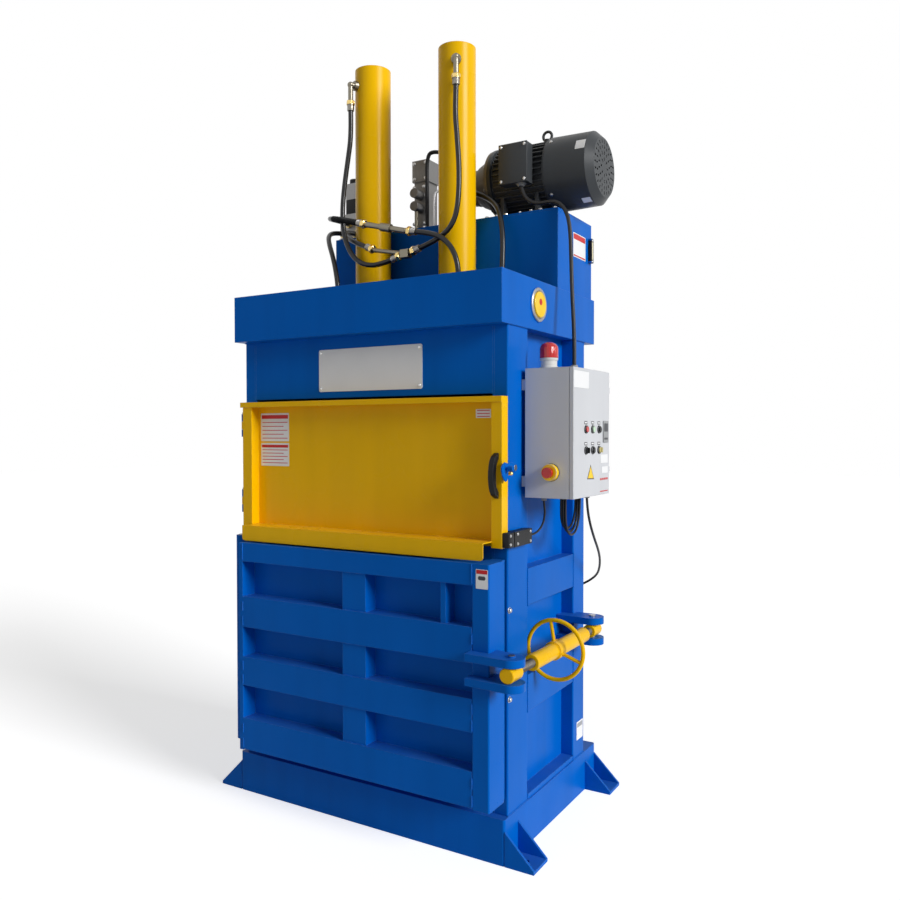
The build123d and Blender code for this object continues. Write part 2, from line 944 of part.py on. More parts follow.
def report_cord(name, points, diameter, part, path):
    """Prints a cord's radii, its length, and its volume over section times length."""
    section = math.pi * diameter**2 / 4
    radii = [round(radius) for radius in corner_radii(points)]
    length = sum(edge.length for edge in path.edges())
    ratio = part.volume / (section * length)
    print(name, "radii", radii, "length", round(length), "volume ratio", round(ratio, 4))


cord_routes = {
    "near_hose": (
        hose_diameter,
        [
            (272, -140, 3012),
            (268, -142, 2905),
            (281, -146, 2795),
            (294, -152, 2665),
            (296, -160, 2538),
            (283, -166, 2458),
            (247, -170, 2408),
            (182, -171, 2374),
            (112, -169, 2356),
        ],
    ),
    "far_hose": (
        hose_diameter,
        [
            (-272, -140, 3012),
            (-268, -142, 2905),
            (-283, -146, 2800),
            (-299, -150, 2695),
            (-307, -155, 2600),
            (-304, -160, 2510),
            (-280, -164, 2415),
            (-232, -167, 2345),
            (-160, -169, 2309),
            (-84, -169, 2309),
            (-30, -168, 2323),
        ],
    ),
    "right_drop_hose": (
        hose_diameter,
        [
            (118, -206, 2416),
            (185, -208, 2403),
            (248, -208, 2376),
            (293, -206, 2328),
            (316, -202, 2266),
            (316, -196, 2196),
            (303, -188, 2132),
        ],
    ),
    "left_valve_hose": (
        hose_diameter,
        [
            (-186, -204, 2492),
            (-262, -200, 2514),
            (-338, -182, 2534),
            (-398, -138, 2552),
            (-430, -70, 2566),
            (-437, 0, 2573),
            (-435, 42, 2574),
        ],
    ),
    "return_hose": (
        hose_diameter,
        [
            (-176, -152, 2396),
            (-244, -143, 2424),
            (-303, -118, 2456),
            (-350, -80, 2486),
            (-379, -30, 2508),
            (-391, 8, 2518),
            (-394, 42, 2521),
        ],
    ),
    "left_drop_hose": (
        hose_diameter,
        [
            (-468, 42, 2530),
            (-470, -20, 2522),
            (-452, -78, 2492),
            (-412, -122, 2442),
            (-364, -156, 2376),
            (-328, -178, 2300),
            (-308, -188, 2216),
            (-303, -188, 2132),
        ],
    ),
    "suction_hose": (
        hose_diameter,
        [
            (118, 122, 2682),
            (152, 100, 2668),
            (196, 86, 2648),
            (246, 78, 2624),
            (300, 70, 2598),
            (350, 48, 2562),
            (392, 14, 2514),
            (418, -12, 2450),
            (431, -27, 2374),
            (434, -36, 2292),
            (431, -41, 2210),
            (425, -44, 2132),
            (420, -45, 2062),
        ],
    ),
    "motor_cable": (
        motor_cable_diameter,
        [
            (470, 63, 2618),
            (478, 62, 2590),
            (496, 60, 2562),
            (524, 57, 2541),
            (560, 53, 2531),
            (604, 47, 2531),
            (652, 39, 2521),
            (690, 30, 2476),
            (709, 22, 2408),
            (716, 15, 2320),
            (722, 7, 2225),
            (730, -4, 2125),
            (741, -17, 2030),
            (749, -29, 1945),
            (753, -37, 1880),
            (754, -40, 1846),
        ],
    ),
    "switch_cable": (
        switch_cable_diameter,
        [
            (671, -268, 1193),
            (673, -244, 1194),
            (679, -219, 1200),
            (688, -202, 1219),
            (697, -199, 1246),
            (704, -207, 1274),
            (708, -219, 1298),
            (709, -227, 1322),
        ],
    ),
    "box_loop_cable": (
        cable_diameter,
        [
            (745, -125, 1322),
            (744, -124, 1282),
            (742, -118, 1242),
            (741, -104, 1212),
            (741, -81, 1192),
            (741, -51, 1186),
            (742, -22, 1194),
            (743, 0, 1214),
            (744, 14, 1246),
            (745, 19, 1285),
            (745, 20, 1322),
        ],
    ),
    "rear_cable": (
        cable_diameter,
        [
            (800, -20, 1322),
            (799, -10, 1272),
            (794, 34, 1208),
            (784, 104, 1146),
            (769, 184, 1094),
            (748, 262, 1046),
            (722, 330, 998),
            (690, 388, 952),
            (644, 424, 916),
            (594, 418, 888),
            (562, 382, 874),
            (556, 345, 870),
        ],
    ),
}

for cord_name, (cord_size, cord_points) in cord_routes.items():
    with BuildPart() as cord:
        with BuildLine() as cord_path:
            FilletPolyline(*cord_points, radius=corner_radii(cord_points))
        with BuildSketch(Plane(origin=cord_path.line @ 0, z_dir=cord_path.line % 0)):
            Circle(cord_size / 2)
        sweep(path=cord_path.line)
    cord.part.label = cord_name
    export_step(cord.part, f"parts/{cord_name}.step")
    report_cord(cord_name, cord_points, cord_size, cord.part, cord_path.line)


def route_end(name, last):
    """Returns the end point of a cord and the direction in which the cord leaves it."""
    points = [Vector(*point) for point in cord_routes[name][1]]
    if last:
        points.reverse()
    return points[0], (points[0] - points[1]).normalized()


def sleeve_along(point, direction, radius, start, length):
    """Adds a round length that runs from a point along a direction."""
    with Locations(Plane(origin=point + direction * start, z_dir=direction)):
        Cylinder(radius, length, align=(Align.CENTER, Align.CENTER, Align.MIN))


def hose_end(name, last, reach):
    """Adds the ferrule, the nut and the tail that end a hose."""
    point, direction = route_end(name, last)
    sleeve_along(point, direction, 15, 0, 26)
    sleeve_along(point, direction, 17, 26, 16)
    sleeve_along(point, direction, 10, 42, reach - 42)


# Hose fittings: elbows on the cylinders, the two joints in mid air, and the tails at the valves
with BuildPart() as hose_fittings:
    for side, upper, lower in ((1, "near_hose", "right_drop_hose"), (-1, "far_hose", "left_drop_hose")):
        centre = Vector(side * cylinder_x, cylinder_y, 0)
        for cord_name, last, z_level in ((upper, False, upper_port_z), (lower, True, lower_port_z)):
            point, direction = route_end(cord_name, last)
            foot = Vector(point.X, point.Y, z_level)
            outward = (Vector(point.X, point.Y, 0) - centre).normalized()
            reach = (Vector(point.X, point.Y, 0) - centre).length
            flat_face = Vector(centre.X, centre.Y, z_level) + outward * (barrel_radius - 1.5)
            sleeve_along(flat_face, outward, 21, 0, 16)
            sleeve_along(flat_face, outward, 13, 16, reach - barrel_radius - 14)
            with Locations(foot):
                Sphere(14)
            up = 1 if z_level > point.Z else -1
            sleeve_along(foot, Vector(0, 0, -up), 11, 0, abs(z_level - point.Z) - 42)
            sleeve_along(point, Vector(0, 0, up), 15, 0, 26)
            sleeve_along(point, Vector(0, 0, up), 17, 26, 16)
    for side in (-1, 1):
        bar(
            side * cylinder_x,
            cylinder_y,
            (barrel_foot + barrel_top) / 2,
            barrel_radius,
            barrel_top - barrel_foot,
            "Z",
            Mode.SUBTRACT,
        )
    right_end, right_way = route_end("near_hose", True)
    left_end, left_way = route_end("far_hose", True)
    hose_end("near_hose", True, 58)
    hose_end("far_hose", True, 58)
    tee_centre = (right_end + left_end) * 0.5
    with Locations(Location(tuple(tee_centre), (0, 0, 0))):
        Box(40, 34, 34)
    pipe_end, pipe_way = route_end("return_hose", False)
    hose_end("return_hose", False, 60)
    pipe_start = pipe_end + pipe_way * 58
    pipe_run = tee_centre - pipe_start
    sleeve_along(pipe_start, pipe_run.normalized(), 9, 0, pipe_run.length)
    right_end, right_way = route_end("right_drop_hose", False)
    left_end, left_way = route_end("left_valve_hose", False)
    hose_end("right_drop_hose", False, 60)
    hose_end("left_valve_hose", False, 60)
    joint_start = left_end + left_way * 58
    joint_run = right_end + right_way * 58 - joint_start
    sleeve_along(joint_start, joint_run.normalized(), 12, -2, joint_run.length + 4)
    sleeve_along(joint_start, joint_run.normalized(), 18, joint_run.length / 2 - 25, 50)
    for cord_name in ("left_valve_hose", "return_hose"):
        point, direction = route_end(cord_name, True)
        sleeve_along(point, Vector(0, 1, 0), 15, 0, valve_front - point.Y)
    point, direction = route_end("left_drop_hose", False)
    sleeve_along(point, Vector(0, 1, 0), 15, 0, valve_front - point.Y)
    point, direction = route_end("suction_hose", True)
    sleeve_along(point, Vector(0, 0, -1), 16, 0, point.Z - head_floor)
    point, direction = route_end("suction_hose", False)
    sleeve_along(point, direction, 15, 0, 26)
    sleeve_along(point, direction, 10, 26, 20)
    bar(-115, motor_y - 81, lid_top + 54, 9, 108, "Z")
hose_fittings.part.label = "hose_fittings"
export_step(hose_fittings.part, "parts/hose_fittings.step")

# Places that the upper door shares with its hinges, its latch and the interlock
up_axis_x = -body_half + up_door_left - up_hinge_outset
up_axis_y = body_front - up_hinge_inset
up_third = up_hinge_length / 3
hook_x = body_half + hook_stand_off
pivot_y = body_front + latch_pivot_back
pivot_z = up_door_bottom + latch_z
stud_y = pivot_y - stud_radius_out * math.cos(math.radians(latch_drop))
stud_z = pivot_z - stud_radius_out * math.sin(math.radians(latch_drop))
key_z = up_door_bottom + switch_z
switch_front = body_front - 10
switch_back = body_front + 2
switch_x0 = body_half
switch_x1 = body_half + switch_depth
key_x = (switch_x0 + up_door_right + switch_x1) / 2

# Upper feed door: one folded sheet with stiles, a top rail, a ledge and an apron
up_front = body_front - up_door_stand_off - up_door_depth
up_back = up_front + up_door_depth
up_left = -body_half + up_door_left
up_right = body_half + up_door_right
apron_front = up_front - apron_reach
with BuildPart() as upper_door:
    with BuildSketch(Plane.XY.offset(up_door_bottom)):
        for x0, x1, y0, y1 in (
            (up_left, up_left + door_sheet, up_front, up_back),
            (up_left, up_left + up_stile_left, up_front, up_front + door_sheet),
            (up_left + up_stile_left - door_sheet, up_left + up_stile_left, up_front, up_back),
            (up_left, up_right, up_back - door_sheet, up_back),
            (up_right - up_stile_right, up_right - up_stile_right + door_sheet, up_front, up_back),
            (up_right - up_stile_right, up_right, up_front, up_front + door_sheet),
            (up_right - door_sheet, up_right, up_front, up_back),
        ):
            with Locations(((x0 + x1) / 2, (y0 + y1) / 2)):
                Rectangle(x1 - x0, y1 - y0)
    extrude(amount=up_door_height)
    rail_left = up_left - top_rail_reach
    block(rail_left, up_right, up_front, up_back, up_door_top - door_sheet, up_door_top)
    block(
        rail_left,
        up_right,
        up_front - door_sheet,
        up_front,
        up_door_top - top_rail_height,
        up_door_top,
    )
    ledge_x0 = up_left + apron_left
    ledge_x1 = up_right - apron_right
    block(ledge_x0, ledge_x1, apron_front, up_back, ledge_top - door_sheet, ledge_top)
    block(up_left, ledge_x0, up_front, up_back, up_door_bottom, up_door_bottom + door_sheet)
    block(ledge_x1, up_right, up_front, up_back, up_door_bottom, up_door_bottom + door_sheet)
    with BuildSketch(Plane.XZ.offset(-apron_front)) as apron:
        with Locations(((ledge_x0 + ledge_x1) / 2, (apron_bottom + ledge_top) / 2)):
            Rectangle(ledge_x1 - ledge_x0, ledge_top - apron_bottom)
        fillet(apron.vertices().group_by(Axis.Y)[0], apron_corner)
    extrude(amount=-door_sheet)
    for rise in up_hinge_zs:
        z = up_door_bottom + rise + up_third
        bar(up_axis_x, up_axis_y, z + up_third / 2, up_knuckle_radius, up_third - knuckle_gap, "Z")
        block(
            up_axis_x,
            up_left + door_sheet,
            up_axis_y - up_knuckle_radius,
            up_axis_y,
            z + knuckle_gap / 2,
            z + up_third - knuckle_gap / 2,
        )
        bar(up_axis_x, up_axis_y, z + up_third / 2, up_pin_radius + fit_gap, up_third, "Z", Mode.SUBTRACT)
    stud_end = hook_x + hook_sheet + 3
    stud_start = up_right + rest_gap
    bar((stud_start + stud_end) / 2, stud_y, stud_z, stud_radius, stud_end - stud_start, "X")
    key_y = up_front + key_inset
    block(
        up_right + rest_gap,
        key_x + key_sheet / 2,
        key_y,
        key_y + key_sheet,
        key_z - key_plate / 2,
        key_z + key_plate / 2,
    )
    block(
        key_x - key_sheet / 2,
        key_x + key_sheet / 2,
        key_y + key_sheet + rest_gap,
        switch_front + key_reach,
        key_z - key_height / 2,
        key_z + key_height / 2,
    )
upper_door.part.label = "upper_door"
export_step(upper_door.part, "parts/upper_door.step")

# Bow handle of the upper door
handle_x = up_right - handle_inset
handle_mid = up_door_bottom + handle_z
with BuildPart() as door_handle:
    with BuildLine(Plane.YZ.offset(handle_x)) as bow:
        FilletPolyline(
            (up_front, handle_mid - handle_height / 2),
            (up_front - handle_reach, handle_mid - handle_height / 2 + 8),
            (up_front - handle_reach, handle_mid + handle_height / 2 - 8),
            (up_front, handle_mid + handle_height / 2),
            radius=24,
        )
    with BuildSketch(Plane(origin=bow.line @ 0, x_dir=(1, 0, 0), z_dir=bow.line % 0)):
        Ellipse(handle_bar * 0.6, handle_bar / 2)
    sweep(path=bow.line)
    block(
        handle_x - 40,
        handle_x + 40,
        up_front,
        up_front + 30,
        handle_mid - handle_height,
        handle_mid + handle_height,
        Mode.SUBTRACT,
    )
door_handle.part.label = "door_handle"
export_step(door_handle.part, "parts/door_handle.step")

# Latch hook of the upper door: two lobes, a notch for the stud and a knob on the nose
with BuildPart() as latch_hook:
    with BuildSketch(Plane.YZ.offset(hook_x)) as hook_outline:
        with Locations((pivot_y, pivot_z)):
            Circle(hook_lobe + 3)
        with Locations((pivot_y - hook_reach, pivot_z)):
            Circle(hook_lobe)
        with Locations((pivot_y - hook_reach / 2, pivot_z + hook_lobe / 4)):
            Rectangle(hook_reach, 1.5 * hook_lobe)
        with Locations((pivot_y, pivot_z)):
            Circle(latch_pin_radius + fit_gap, mode=Mode.SUBTRACT)
        notch_radius = stud_radius + stud_notch
        with Locations((pivot_y - stud_radius_out, pivot_z)):
            Circle(notch_radius, mode=Mode.SUBTRACT)
        with Locations((pivot_y - stud_radius_out, pivot_z - hook_lobe)):
            Rectangle(2 * notch_radius, 2 * hook_lobe, mode=Mode.SUBTRACT)
    extrude(amount=hook_sheet)
    knob_foot = hook_x + hook_sheet
    bar(knob_foot + knob_stem / 2, pivot_y - hook_reach, pivot_z, knob_radius / 2, knob_stem, "X")
    bar(knob_foot + knob_stem + knob_radius, pivot_y - hook_reach, pivot_z, knob_radius, 2 * knob_radius, "X")
latch_hook.part.label = "latch_hook"
export_step(latch_hook.part, "parts/latch_hook.step")

# Interlock switch on the body, with the slot that the door's key stands in
with BuildPart() as interlock_switch:
    block(
        switch_x0,
        switch_x1,
        switch_back,
        switch_back + switch_length,
        key_z - switch_height / 2,
        key_z + switch_height / 2,
    )
    block(
        switch_x0 + up_door_right + 2,
        switch_x1,
        switch_front,
        switch_back,
        key_z - switch_height / 2,
        key_z + switch_height / 2,
    )
    block(
        key_x - key_sheet / 2 - key_gap,
        key_x + key_sheet / 2 + key_gap,
        switch_front - 5,
        switch_front + key_reach + 6,
        key_z - key_height / 2 - key_gap,
        key_z + key_height / 2 + key_gap,
        Mode.SUBTRACT,
    )
    point, direction = route_end("switch_cable", False)
    point = Vector(point.X, point.Y, key_z)
    sleeve_along(point, Vector(0, -1, 0), 8, 0, point.Y - (switch_back + switch_length))
interlock_switch.part.label = "interlock_switch"
export_step(interlock_switch.part, "parts/interlock_switch.step")

# Lower door: plate, rails, ribs, stiles and the arms of its knuckles
low_front = body_front - low_door_front
low_plate_y0 = low_front + door_channel
low_plate_y1 = low_plate_y0 + door_plate
low_left = -body_half + low_door_left
low_right = body_half
stile_left = low_right - stile_width
low_axis_x = -body_half + low_hinge_inset
low_axis_y = body_front - low_hinge_front
column_foot = floor_top + low_hinge_low
column_top = low_door_top + low_hinge_rise
knuckle_length = (column_top - column_foot) / low_knuckle_count
with BuildPart() as lower_door:
    block(low_left, low_right, low_plate_y0, low_plate_y1, floor_top, low_door_top)
    block(low_left, low_left + stile_edge, low_front, low_plate_y0, floor_top, low_door_top)
    with BuildSketch(Plane.XY.offset(floor_top)) as stile:
        with Locations(((stile_left + low_right) / 2, (low_front + body_front - low_door_back) / 2)):
            Rectangle(stile_width, body_front - low_door_back - low_front)
        fillet(stile.vertices().group_by(Axis.Y)[0], post_bend)
    extrude(amount=low_door_height)
    for bottom, height in zip(rail_bottoms, rail_heights):
        block(
            low_left + stile_edge,
            stile_left,
            low_front,
            low_plate_y0,
            floor_top + bottom,
            floor_top + bottom + height,
        )
    for lower, upper in zip(range(len(rail_bottoms) - 1), range(1, len(rail_bottoms))):
        z0 = floor_top + rail_bottoms[lower] + rail_heights[lower]
        z1 = floor_top + rail_bottoms[upper]
        block(
            mid_rib_x - mid_rib_width / 2,
            mid_rib_x + mid_rib_width / 2,
            low_front + mid_rib_setback,
            low_plate_y0,
            z0,
            z1,
        )
    block(
        thin_rib_x - thin_rib_width / 2,
        thin_rib_x + thin_rib_width / 2,
        low_front + mid_rib_setback,
        low_plate_y0,
        floor_top + rail_bottoms[2] + rail_heights[2],
        floor_top + rail_bottoms[3],
    )
    block(
        stile_left + door_return_inset,
        low_right - door_return_inset,
        body_front - low_door_back,
        body_front - door_return_gap,
        floor_top,
        low_door_top,
    )
    for i in range(1, low_knuckle_count, 2):
        z = column_foot + i * knuckle_length
        middle = z + knuckle_length / 2
        bar(low_axis_x, low_axis_y, middle, low_knuckle_radius, knuckle_length - knuckle_gap, "Z")
        block(
            low_axis_x,
            low_left,
            low_axis_y - low_pin_radius,
            low_plate_y1,
            z + knuckle_gap / 2,
            z + knuckle_length - knuckle_gap / 2,
        )
        bar(low_axis_x, low_axis_y, middle, low_pin_radius + fit_gap, knuckle_length, "Z", Mode.SUBTRACT)
lower_door.part.label = "lower_door"
export_step(lower_door.part, "parts/lower_door.step")

# Hinge knuckles on the body, for both doors
with BuildPart() as body_knuckles:
    for rise in up_hinge_zs:
        for z in (up_door_bottom + rise, up_door_bottom + rise + 2 * up_third):
            bar(up_axis_x, up_axis_y, z + up_third / 2, up_knuckle_radius, up_third - knuckle_gap, "Z")
            block(
                up_axis_x - up_knuckle_radius,
                up_axis_x + up_knuckle_radius / 2,
                up_axis_y,
                body_front,
                z + knuckle_gap / 2,
                z + up_third - knuckle_gap / 2,
            )
            bar(up_axis_x, up_axis_y, z + up_third / 2, up_pin_radius + fit_gap, up_third, "Z", Mode.SUBTRACT)
    for i in range(0, low_knuckle_count, 2):
        z = column_foot + i * knuckle_length
        middle = z + knuckle_length / 2
        bar(low_axis_x, low_axis_y, middle, low_knuckle_radius, knuckle_length - knuckle_gap, "Z")
        block(
            low_axis_x - low_knuckle_radius,
            low_axis_x + low_pin_radius,
            low_axis_y,
            body_front,
            z + knuckle_gap / 2,
            z + knuckle_length - knuckle_gap / 2,
        )
        bar(low_axis_x, low_axis_y, middle, low_pin_radius + fit_gap, knuckle_length, "Z", Mode.SUBTRACT)
body_knuckles.part.label = "body_knuckles"
export_step(body_knuckles.part, "parts/body_knuckles.step")

# Liner on the back of the lower door, with strap channels that line up with the floor's
with BuildPart() as door_liner:
    liner_half = chamber_half - liner_clearance
    liner_back = body_front + liner_overlap
    liner_bottom = floor_top + liner_floor_gap
    liner_top = cross_bar_bottom - liner_top_gap
    block(
        -liner_half,
        liner_half,
        low_plate_y1,
        liner_back - strap_depth,
        liner_bottom,
        liner_top,
    )
    strap_pads(liner_half, liner_back - strap_depth + rest_gap, liner_back, liner_bottom, liner_top)
door_liner.part.label = "door_liner"
export_step(door_liner.part, "parts/door_liner.step")

# Lock of the lower door: lugs, pins, end blocks, sleeve and handwheel
lock_x = body_half + lock_out
near_y = low_front - near_pin_front
far_y = near_y + lock_span
lug_inner = end_block_radius + lug_gap
lug_levels = (
    (lock_z - lug_inner - lug_sheet, lock_z - lug_inner),
    (lock_z + lug_inner, lock_z + lug_inner + lug_sheet),
)
with BuildPart() as door_lugs:
    for z0, z1 in lug_levels:
        with BuildSketch(Plane.XY.offset(z0)):
            with BuildLine():
                Polyline(
                    (stile_left - 5, low_front),
                    (stile_left - 5, near_y - lug_radius + 8),
                    (lock_x, near_y - lug_radius),
                    (lock_x, near_y + lug_radius),
                    (low_right, near_y + lug_radius + 14),
                    (low_right, low_front),
                    close=True,
                )
            make_face()
            with Locations((lock_x, near_y)):
                Circle(lug_radius)
        extrude(amount=z1 - z0)
    stub_length = lug_inner + lug_sheet + pin_head - end_block_radius - stub_gap
    for side in (-1, 1):
        stub_z = lock_z + side * (end_block_radius + stub_gap + stub_length / 2)
        bar(lock_x, near_y, stub_z, lock_pin_radius, stub_length, "Z")
door_lugs.part.label = "door_lugs"
export_step(door_lugs.part, "parts/door_lugs.step")

recess_x = chamber_half + wall_sheet
with BuildPart() as body_lugs:
    for z0, z1 in lug_levels:
        with BuildSketch(Plane.XY.offset(z0)):
            with BuildLine():
                Polyline(
                    (recess_x, far_y - lug_radius),
                    (lock_x, far_y - lug_radius),
                    (lock_x, far_y + lug_radius),
                    (body_half, far_y + lug_radius),
                    (body_half, body_rear - rear_post),
                    (recess_x, body_rear - rear_post),
                    close=True,
                )
            make_face()
            with Locations((lock_x, far_y)):
                Circle(lug_radius)
                Circle(lock_pin_radius + fit_gap, mode=Mode.SUBTRACT)
        extrude(amount=z1 - z0)
body_lugs.part.label = "body_lugs"
export_step(body_lugs.part, "parts/body_lugs.step")

# Pins: the door hinges, the pivot of the latch hook and the pivot of the lock
with BuildPart() as hinge_pins:
    for rise in up_hinge_zs:
        z = up_door_bottom + rise
        bar(up_axis_x, up_axis_y, z + up_hinge_length / 2, up_pin_radius, up_hinge_length + 4, "Z")
        bar(up_axis_x, up_axis_y, z + up_hinge_length + 4, up_pin_radius + 3, pin_head, "Z")
    column_length = column_top - column_foot
    bar(low_axis_x, low_axis_y, column_foot + column_length / 2, low_pin_radius, column_length + 8, "Z")
    pivot_seat = hook_x - rest_gap
    pivot_end = hook_x + hook_sheet + rest_gap
    bar((body_half + pivot_seat) / 2, pivot_y, pivot_z, latch_boss_radius, pivot_seat - body_half, "X")
    bar((body_half + pivot_end) / 2, pivot_y, pivot_z, latch_pin_radius, pivot_end - body_half, "X")
    bar(pivot_end + pin_head / 2, pivot_y, pivot_z, latch_boss_radius, pin_head, "X")
    bar(lock_x, far_y, lock_z, lock_pin_radius, 2 * (lug_inner + lug_sheet + pin_head), "Z")
hinge_pins.part.label = "hinge_pins"
export_step(hinge_pins.part, "parts/hinge_pins.step")

sleeve_y0 = near_y + sleeve_start
sleeve_y1 = sleeve_y0 + sleeve_length
with BuildPart() as swivel_eye:
    bar(lock_x, far_y, lock_z, end_block_radius, end_block_length, "Y")
    far_rod_start = sleeve_y1 - thread_depth
    bar(lock_x, (far_rod_start + far_y) / 2, lock_z, thread_radius, far_y - far_rod_start, "Y")
    bar(lock_x, far_y, lock_z, lock_pin_radius + fit_gap, 4 * end_block_radius, "Z", Mode.SUBTRACT)
swivel_eye.part.label = "swivel_eye"
export_step(swivel_eye.part, "parts/swivel_eye.step")

with BuildPart() as screw_eye:
    near_rod_end = sleeve_y0 + thread_depth
    bar(lock_x, near_y, lock_z, end_block_radius, end_block_length, "Y")
    bar(lock_x, (near_y + near_rod_end) / 2, lock_z, thread_radius, near_rod_end - near_y, "Y")
screw_eye.part.label = "screw_eye"
export_step(screw_eye.part, "parts/screw_eye.step")

with BuildPart() as lock_sleeve:
    bar(lock_x, (sleeve_y0 + sleeve_y1) / 2, lock_z, sleeve_radius, sleeve_length, "Y")
    chamfer(lock_sleeve.edges().filter_by(GeomType.CIRCLE), 2)
    for y0, y1 in ((sleeve_y0, sleeve_y0 + thread_depth + 10), (sleeve_y1 - thread_depth - 10, sleeve_y1)):
        bar(
            lock_x,
            (y0 + y1) / 2,
            lock_z,
            thread_radius + fit_gap,
            y1 - y0 + 0.02,
            "Y",
            Mode.SUBTRACT,
        )
lock_sleeve.part.label = "lock_sleeve"
export_step(lock_sleeve.part, "parts/lock_sleeve.step")

wheel_y = near_y + wheel_offset
with BuildPart() as handwheel:
    with Locations(Location((lock_x, wheel_y, lock_z), (90, 0, 0))):
        Torus(wheel_radius - wheel_tube, wheel_tube)
    bar(lock_x, wheel_y, lock_z, wheel_hub_radius, wheel_hub_length, "Y")
    spoke_end = wheel_radius - wheel_tube
    for i in range(spoke_count):
        angle = math.radians(100 + 360 / spoke_count * i)
        direction = Vector(math.cos(angle), 0, math.sin(angle))
        start = Vector(lock_x, wheel_y, lock_z) + direction * (sleeve_radius + 2)
        sleeve_along(start, direction, spoke_radius, 0, spoke_end - sleeve_radius - 2)
    bar(lock_x, wheel_y, lock_z, sleeve_radius, 2 * wheel_hub_length, "Y", Mode.SUBTRACT)
handwheel.part.label = "handwheel"
export_step(handwheel.part, "parts/handwheel.step")

# Control box: shell, brackets, hinge halves, stop housing and the mounting plate inside
box_x0 = body_half + box_stand_off
box_x1 = box_x0 + box_depth
box_rear = box_front + box_width
box_top = box_bottom + box_height
box_door_x0 = box_x1 + box_door_gap
box_door_x1 = box_door_x0 + box_door_depth
box_axis_x = box_x1 + box_hinge_radius + box_door_gap
box_axis_y = box_rear + box_hinge_out
box_hinge_zs = (box_bottom + box_hinge_inset, box_top - box_hinge_inset - 2 * box_knuckle)
stop_x = box_x0 + stop_out
stop_z = box_bottom + stop_up
stop_face = box_front - stop_height
with BuildPart() as control_box:
    block(box_x0, box_x1, box_front, box_rear, box_bottom, box_top)
    block(
        box_x0 + box_sheet,
        box_x1,
        box_front + box_sheet,
        box_rear - box_sheet,
        box_bottom + box_sheet,
        box_top - box_sheet,
        Mode.SUBTRACT,
    )
    for z in (box_bottom + bracket_inset, box_top - bracket_inset):
        block(
            body_half,
            box_x0,
            box_front + bracket_margin,
            body_front + front_post - bracket_margin,
            z - bracket_height / 2,
            z + bracket_height / 2,
        )
    for z in box_hinge_zs:
        z0 = z + knuckle_gap / 2
        z1 = z + box_knuckle - knuckle_gap / 2
        block(box_x1 - box_hinge_arm, box_axis_x, box_rear, box_axis_y, z0, z1)
        bar(box_axis_x, box_axis_y, (z0 + z1) / 2, box_hinge_radius, z1 - z0, "Z")
        bar(box_axis_x, box_axis_y, z + box_knuckle, box_pin_radius, 2 * box_knuckle - 2 * knuckle_gap, "Z")
    bar(stop_x, box_front - stop_height / 2, stop_z, stop_radius, stop_height, "Y")
    bar(stop_x, stop_face, stop_z, stop_stem_radius + 0.5, 2 * (stop_travel + 10), "Y", Mode.SUBTRACT)
    plate_x0 = box_x0 + box_sheet + rest_gap
    block(
        plate_x0,
        plate_x0 + mounting_sheet,
        box_front + mounting_margin,
        box_rear - mounting_margin,
        box_bottom + mounting_margin,
        box_top - mounting_margin,
    )
    for rise in switchgear_rows:
        block(
            plate_x0 + mounting_sheet,
            plate_x0 + mounting_sheet + switchgear_depth,
            box_front + 2 * mounting_margin,
            box_rear - 2 * mounting_margin,
            box_bottom + rise,
            box_bottom + rise + switchgear_height,
        )
control_box.part.label = "control_box"
export_step(control_box.part, "parts/control_box.step")

# Box door: a pan with holes for the buttons, bezels round them and its half of the hinges
button_places = [
    (box_front + column, box_bottom + row) for row in button_rows for column in button_columns
]
with BuildPart() as box_door:
    block(box_door_x0, box_door_x1, box_front, box_rear, box_bottom, box_top)
    block(
        box_door_x0,
        box_door_x1 - box_sheet,
        box_front + box_sheet,
        box_rear - box_sheet,
        box_bottom + box_sheet,
        box_top - box_sheet,
        Mode.SUBTRACT,
    )
    for z in box_hinge_zs:
        z0 = z + box_knuckle + knuckle_gap / 2
        z1 = z + 2 * box_knuckle - knuckle_gap / 2
        block(box_axis_x, box_door_x1, box_rear - 1, box_axis_y, z0, z1)
        bar(box_axis_x, box_axis_y, (z0 + z1) / 2, box_hinge_radius, z1 - z0, "Z")
        bar(
            box_axis_x,
            box_axis_y,
            z + 1.5 * box_knuckle,
            box_pin_radius + fit_gap,
            box_knuckle,
            "Z",
            Mode.SUBTRACT,
        )
    for y, z in button_places:
        bar(box_door_x1 + bezel_height / 2, y, z, bezel_radius, bezel_height, "X")
        bar(box_door_x1, y, z, button_radius + button_gap, 4 * bezel_height, "X", Mode.SUBTRACT)
box_door.part.label = "box_door"
export_step(box_door.part, "parts/box_door.step")

# Push buttons and selectors of the box door
button_names = (
    "start_button",
    "light_button",
    "raise_button",
    "mode_selector",
    "lower_button",
    "key_selector",
)
for button_name, (y, z) in zip(button_names, button_places):
    with BuildPart() as button:
        button_foot = box_door_x1 - box_sheet - button_tail
        button_end = box_door_x1 + cap_height
        bar((button_foot + button_end) / 2, y, z, button_radius, button_end - button_foot, "X")
        if button_name.endswith("selector"):
            grip = button_radius - 1
            block(button_end - 1, button_end + grip_height, y - 3, y + 3, z - grip, z + grip)
    button.part.label = button_name
    export_step(button.part, f"parts/{button_name}.step")

# Emergency stop button and the beacon
with BuildPart() as stop_button:
    cap_back = stop_face - stop_travel - rest_gap
    stem_end = stop_face + stop_stem_depth
    bar(stop_x, cap_back - stop_cap_height / 2, stop_z, stop_cap_radius, stop_cap_height, "Y")
    bar(stop_x, (cap_back - 2 + stem_end) / 2, stop_z, stop_stem_radius, stem_end - cap_back + 2, "Y")
stop_button.part.label = "stop_button"
export_step(stop_button.part, "parts/stop_button.step")

